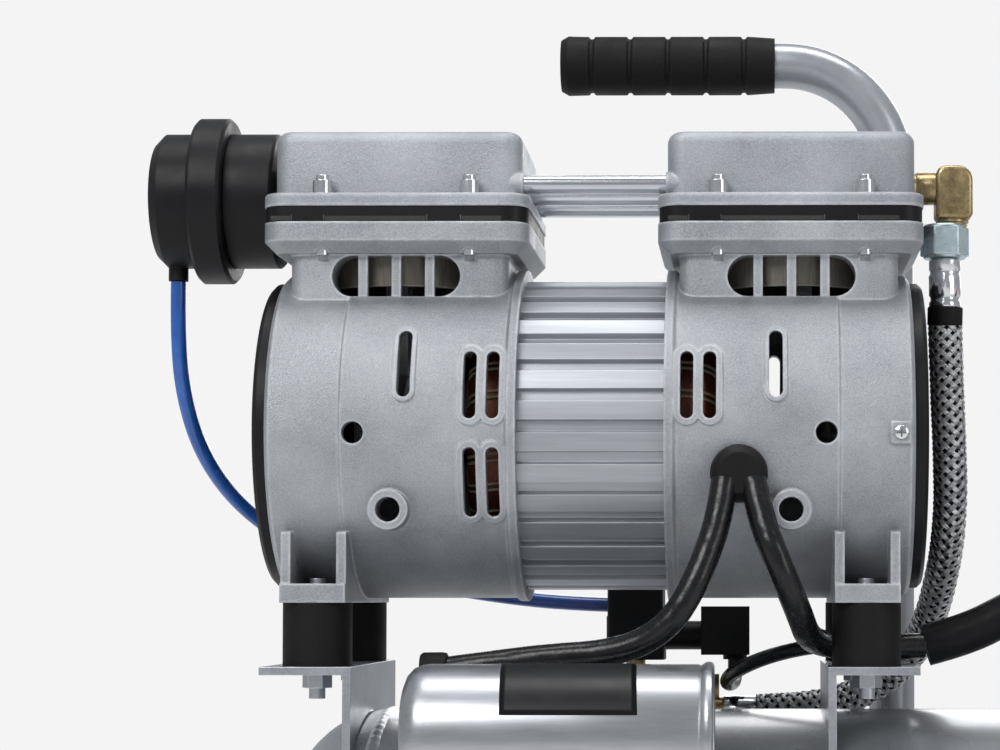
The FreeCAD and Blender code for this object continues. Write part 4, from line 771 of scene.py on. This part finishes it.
def lens_glass():
    """Clear glass with faint smears."""
    glass, nodes, links, shader = nodes_of("gauge_lens")
    shader.inputs["Base Color"].default_value = (0.95, 0.97, 0.97, 1)
    shader.inputs["Transmission Weight"].default_value = 1.0
    shader.inputs["IOR"].default_value = 1.3
    spot = nodes.new("ShaderNodeTexCoord").outputs["Object"]
    smears = noise(nodes, links, spot, 90.0, 3.0)
    links.new(ranged(nodes, links, smears, 0.3, 0.7, 0.02, 0.1), shader.inputs["Roughness"])
    return glass


def dial_number(name, text, place):
    """One upright number on a dial, facing the front."""
    data = bpy.data.curves.new(name, "FONT")
    data.body = text
    data.size = 0.0036
    data.extrude = 0.00006
    data.align_x = "CENTER"
    data.align_y = "CENTER"
    number = put_in_scene(name, data, INK)
    number.location = place
    number.rotation_euler = (math.radians(90), 0, 0)


def gauges():
    """Dial faces with ticks and plain numbers, and domed lenses."""
    glass = lens_glass()
    z, number_reach = 306, 9.6
    for name, x, face in (("tank", 105, -24.2), ("outlet", 188, -30.2)):
        lathe(f"{name}_dial", [(1.2, 0), (17.3, 0), (17.3, 0.3), (1.2, 0.3)], (x, face, z), (0, -1, 0), DIAL,
              sides=64)
        for tick in range(11):
            turn = math.radians(225 - 27 * tick)
            long_tick = tick % 2 == 0
            inner, outer = (12.2 if long_tick else 13.6), 15.6
            half = 0.42 if long_tick else 0.25
            ahead = (math.cos(turn), math.sin(turn))
            beside = (-ahead[1] * half, ahead[0] * half)
            bar = [(x + ahead[0] * r + s * beside[0], z + ahead[1] * r + s * beside[1])
                   for r, s in ((inner, -1), (outer, -1), (outer, 1), (inner, 1))]
            moulded(f"{name}_tick_{tick}", bar, face - 0.42, face - 0.3, INK, bevel=0)
            if long_tick:
                place = at(x + number_reach * ahead[0], face - 0.36, z + number_reach * ahead[1])
                dial_number(f"{name}_number_{tick}", str(tick), place)
        lens = lathe(f"{name}_lens", [(17.5, 0), (17.4, 0.8), (13, 1.5), (8, 1.9), (3, 2.1), (0.2, 2.15)],
                     (x, face - 8.3, z), (0, -1, 0), glass, sides=64)
        lens.visible_shadow = False


def weld_beads():
    """The rippled weld lines where the dished ends join the tank's shell."""
    bead = [(119.6, -2.6), (120.3, -1.9), (120.75, -0.7), (120.8, 0.5), (120.4, 1.7), (119.6, 2.6)]
    for name, x in (("weld_left", -210.0), ("weld_right", 242.0)):
        lathe(name, bead, (x, 0, 150), (1, 0, 0), TANK, sides=420,
              wobble=lambda turn, reach: 0.12 * math.sin(140 * turn) + 0.06 * math.sin(37 * turn))


def carried_nodes():
    """Every CAD node takes a worked finish in place of its plain one."""
    special = {
        "cylinder_sleeves": SLEEVE, "cross_tubes": PIPE, "head_screws": CHROME,
        "head_left": COVER, "head_right": COVER,
    }
    for part in frame["record"]["subparts"]:
        carried = frame["nodes"][part["node"]]
        finish = special.get(part["node"], FINISHES[part["material_slot"]])
        for place in range(len(carried.material_slots)):
            carried.material_slots[place].material = finish


camera()
studio()
carried_nodes()
cords()
capacitor()
elbow()
hose_ends()
pad_and_screw()
lacing()
plate_slots()
gauges()
weld_beads()
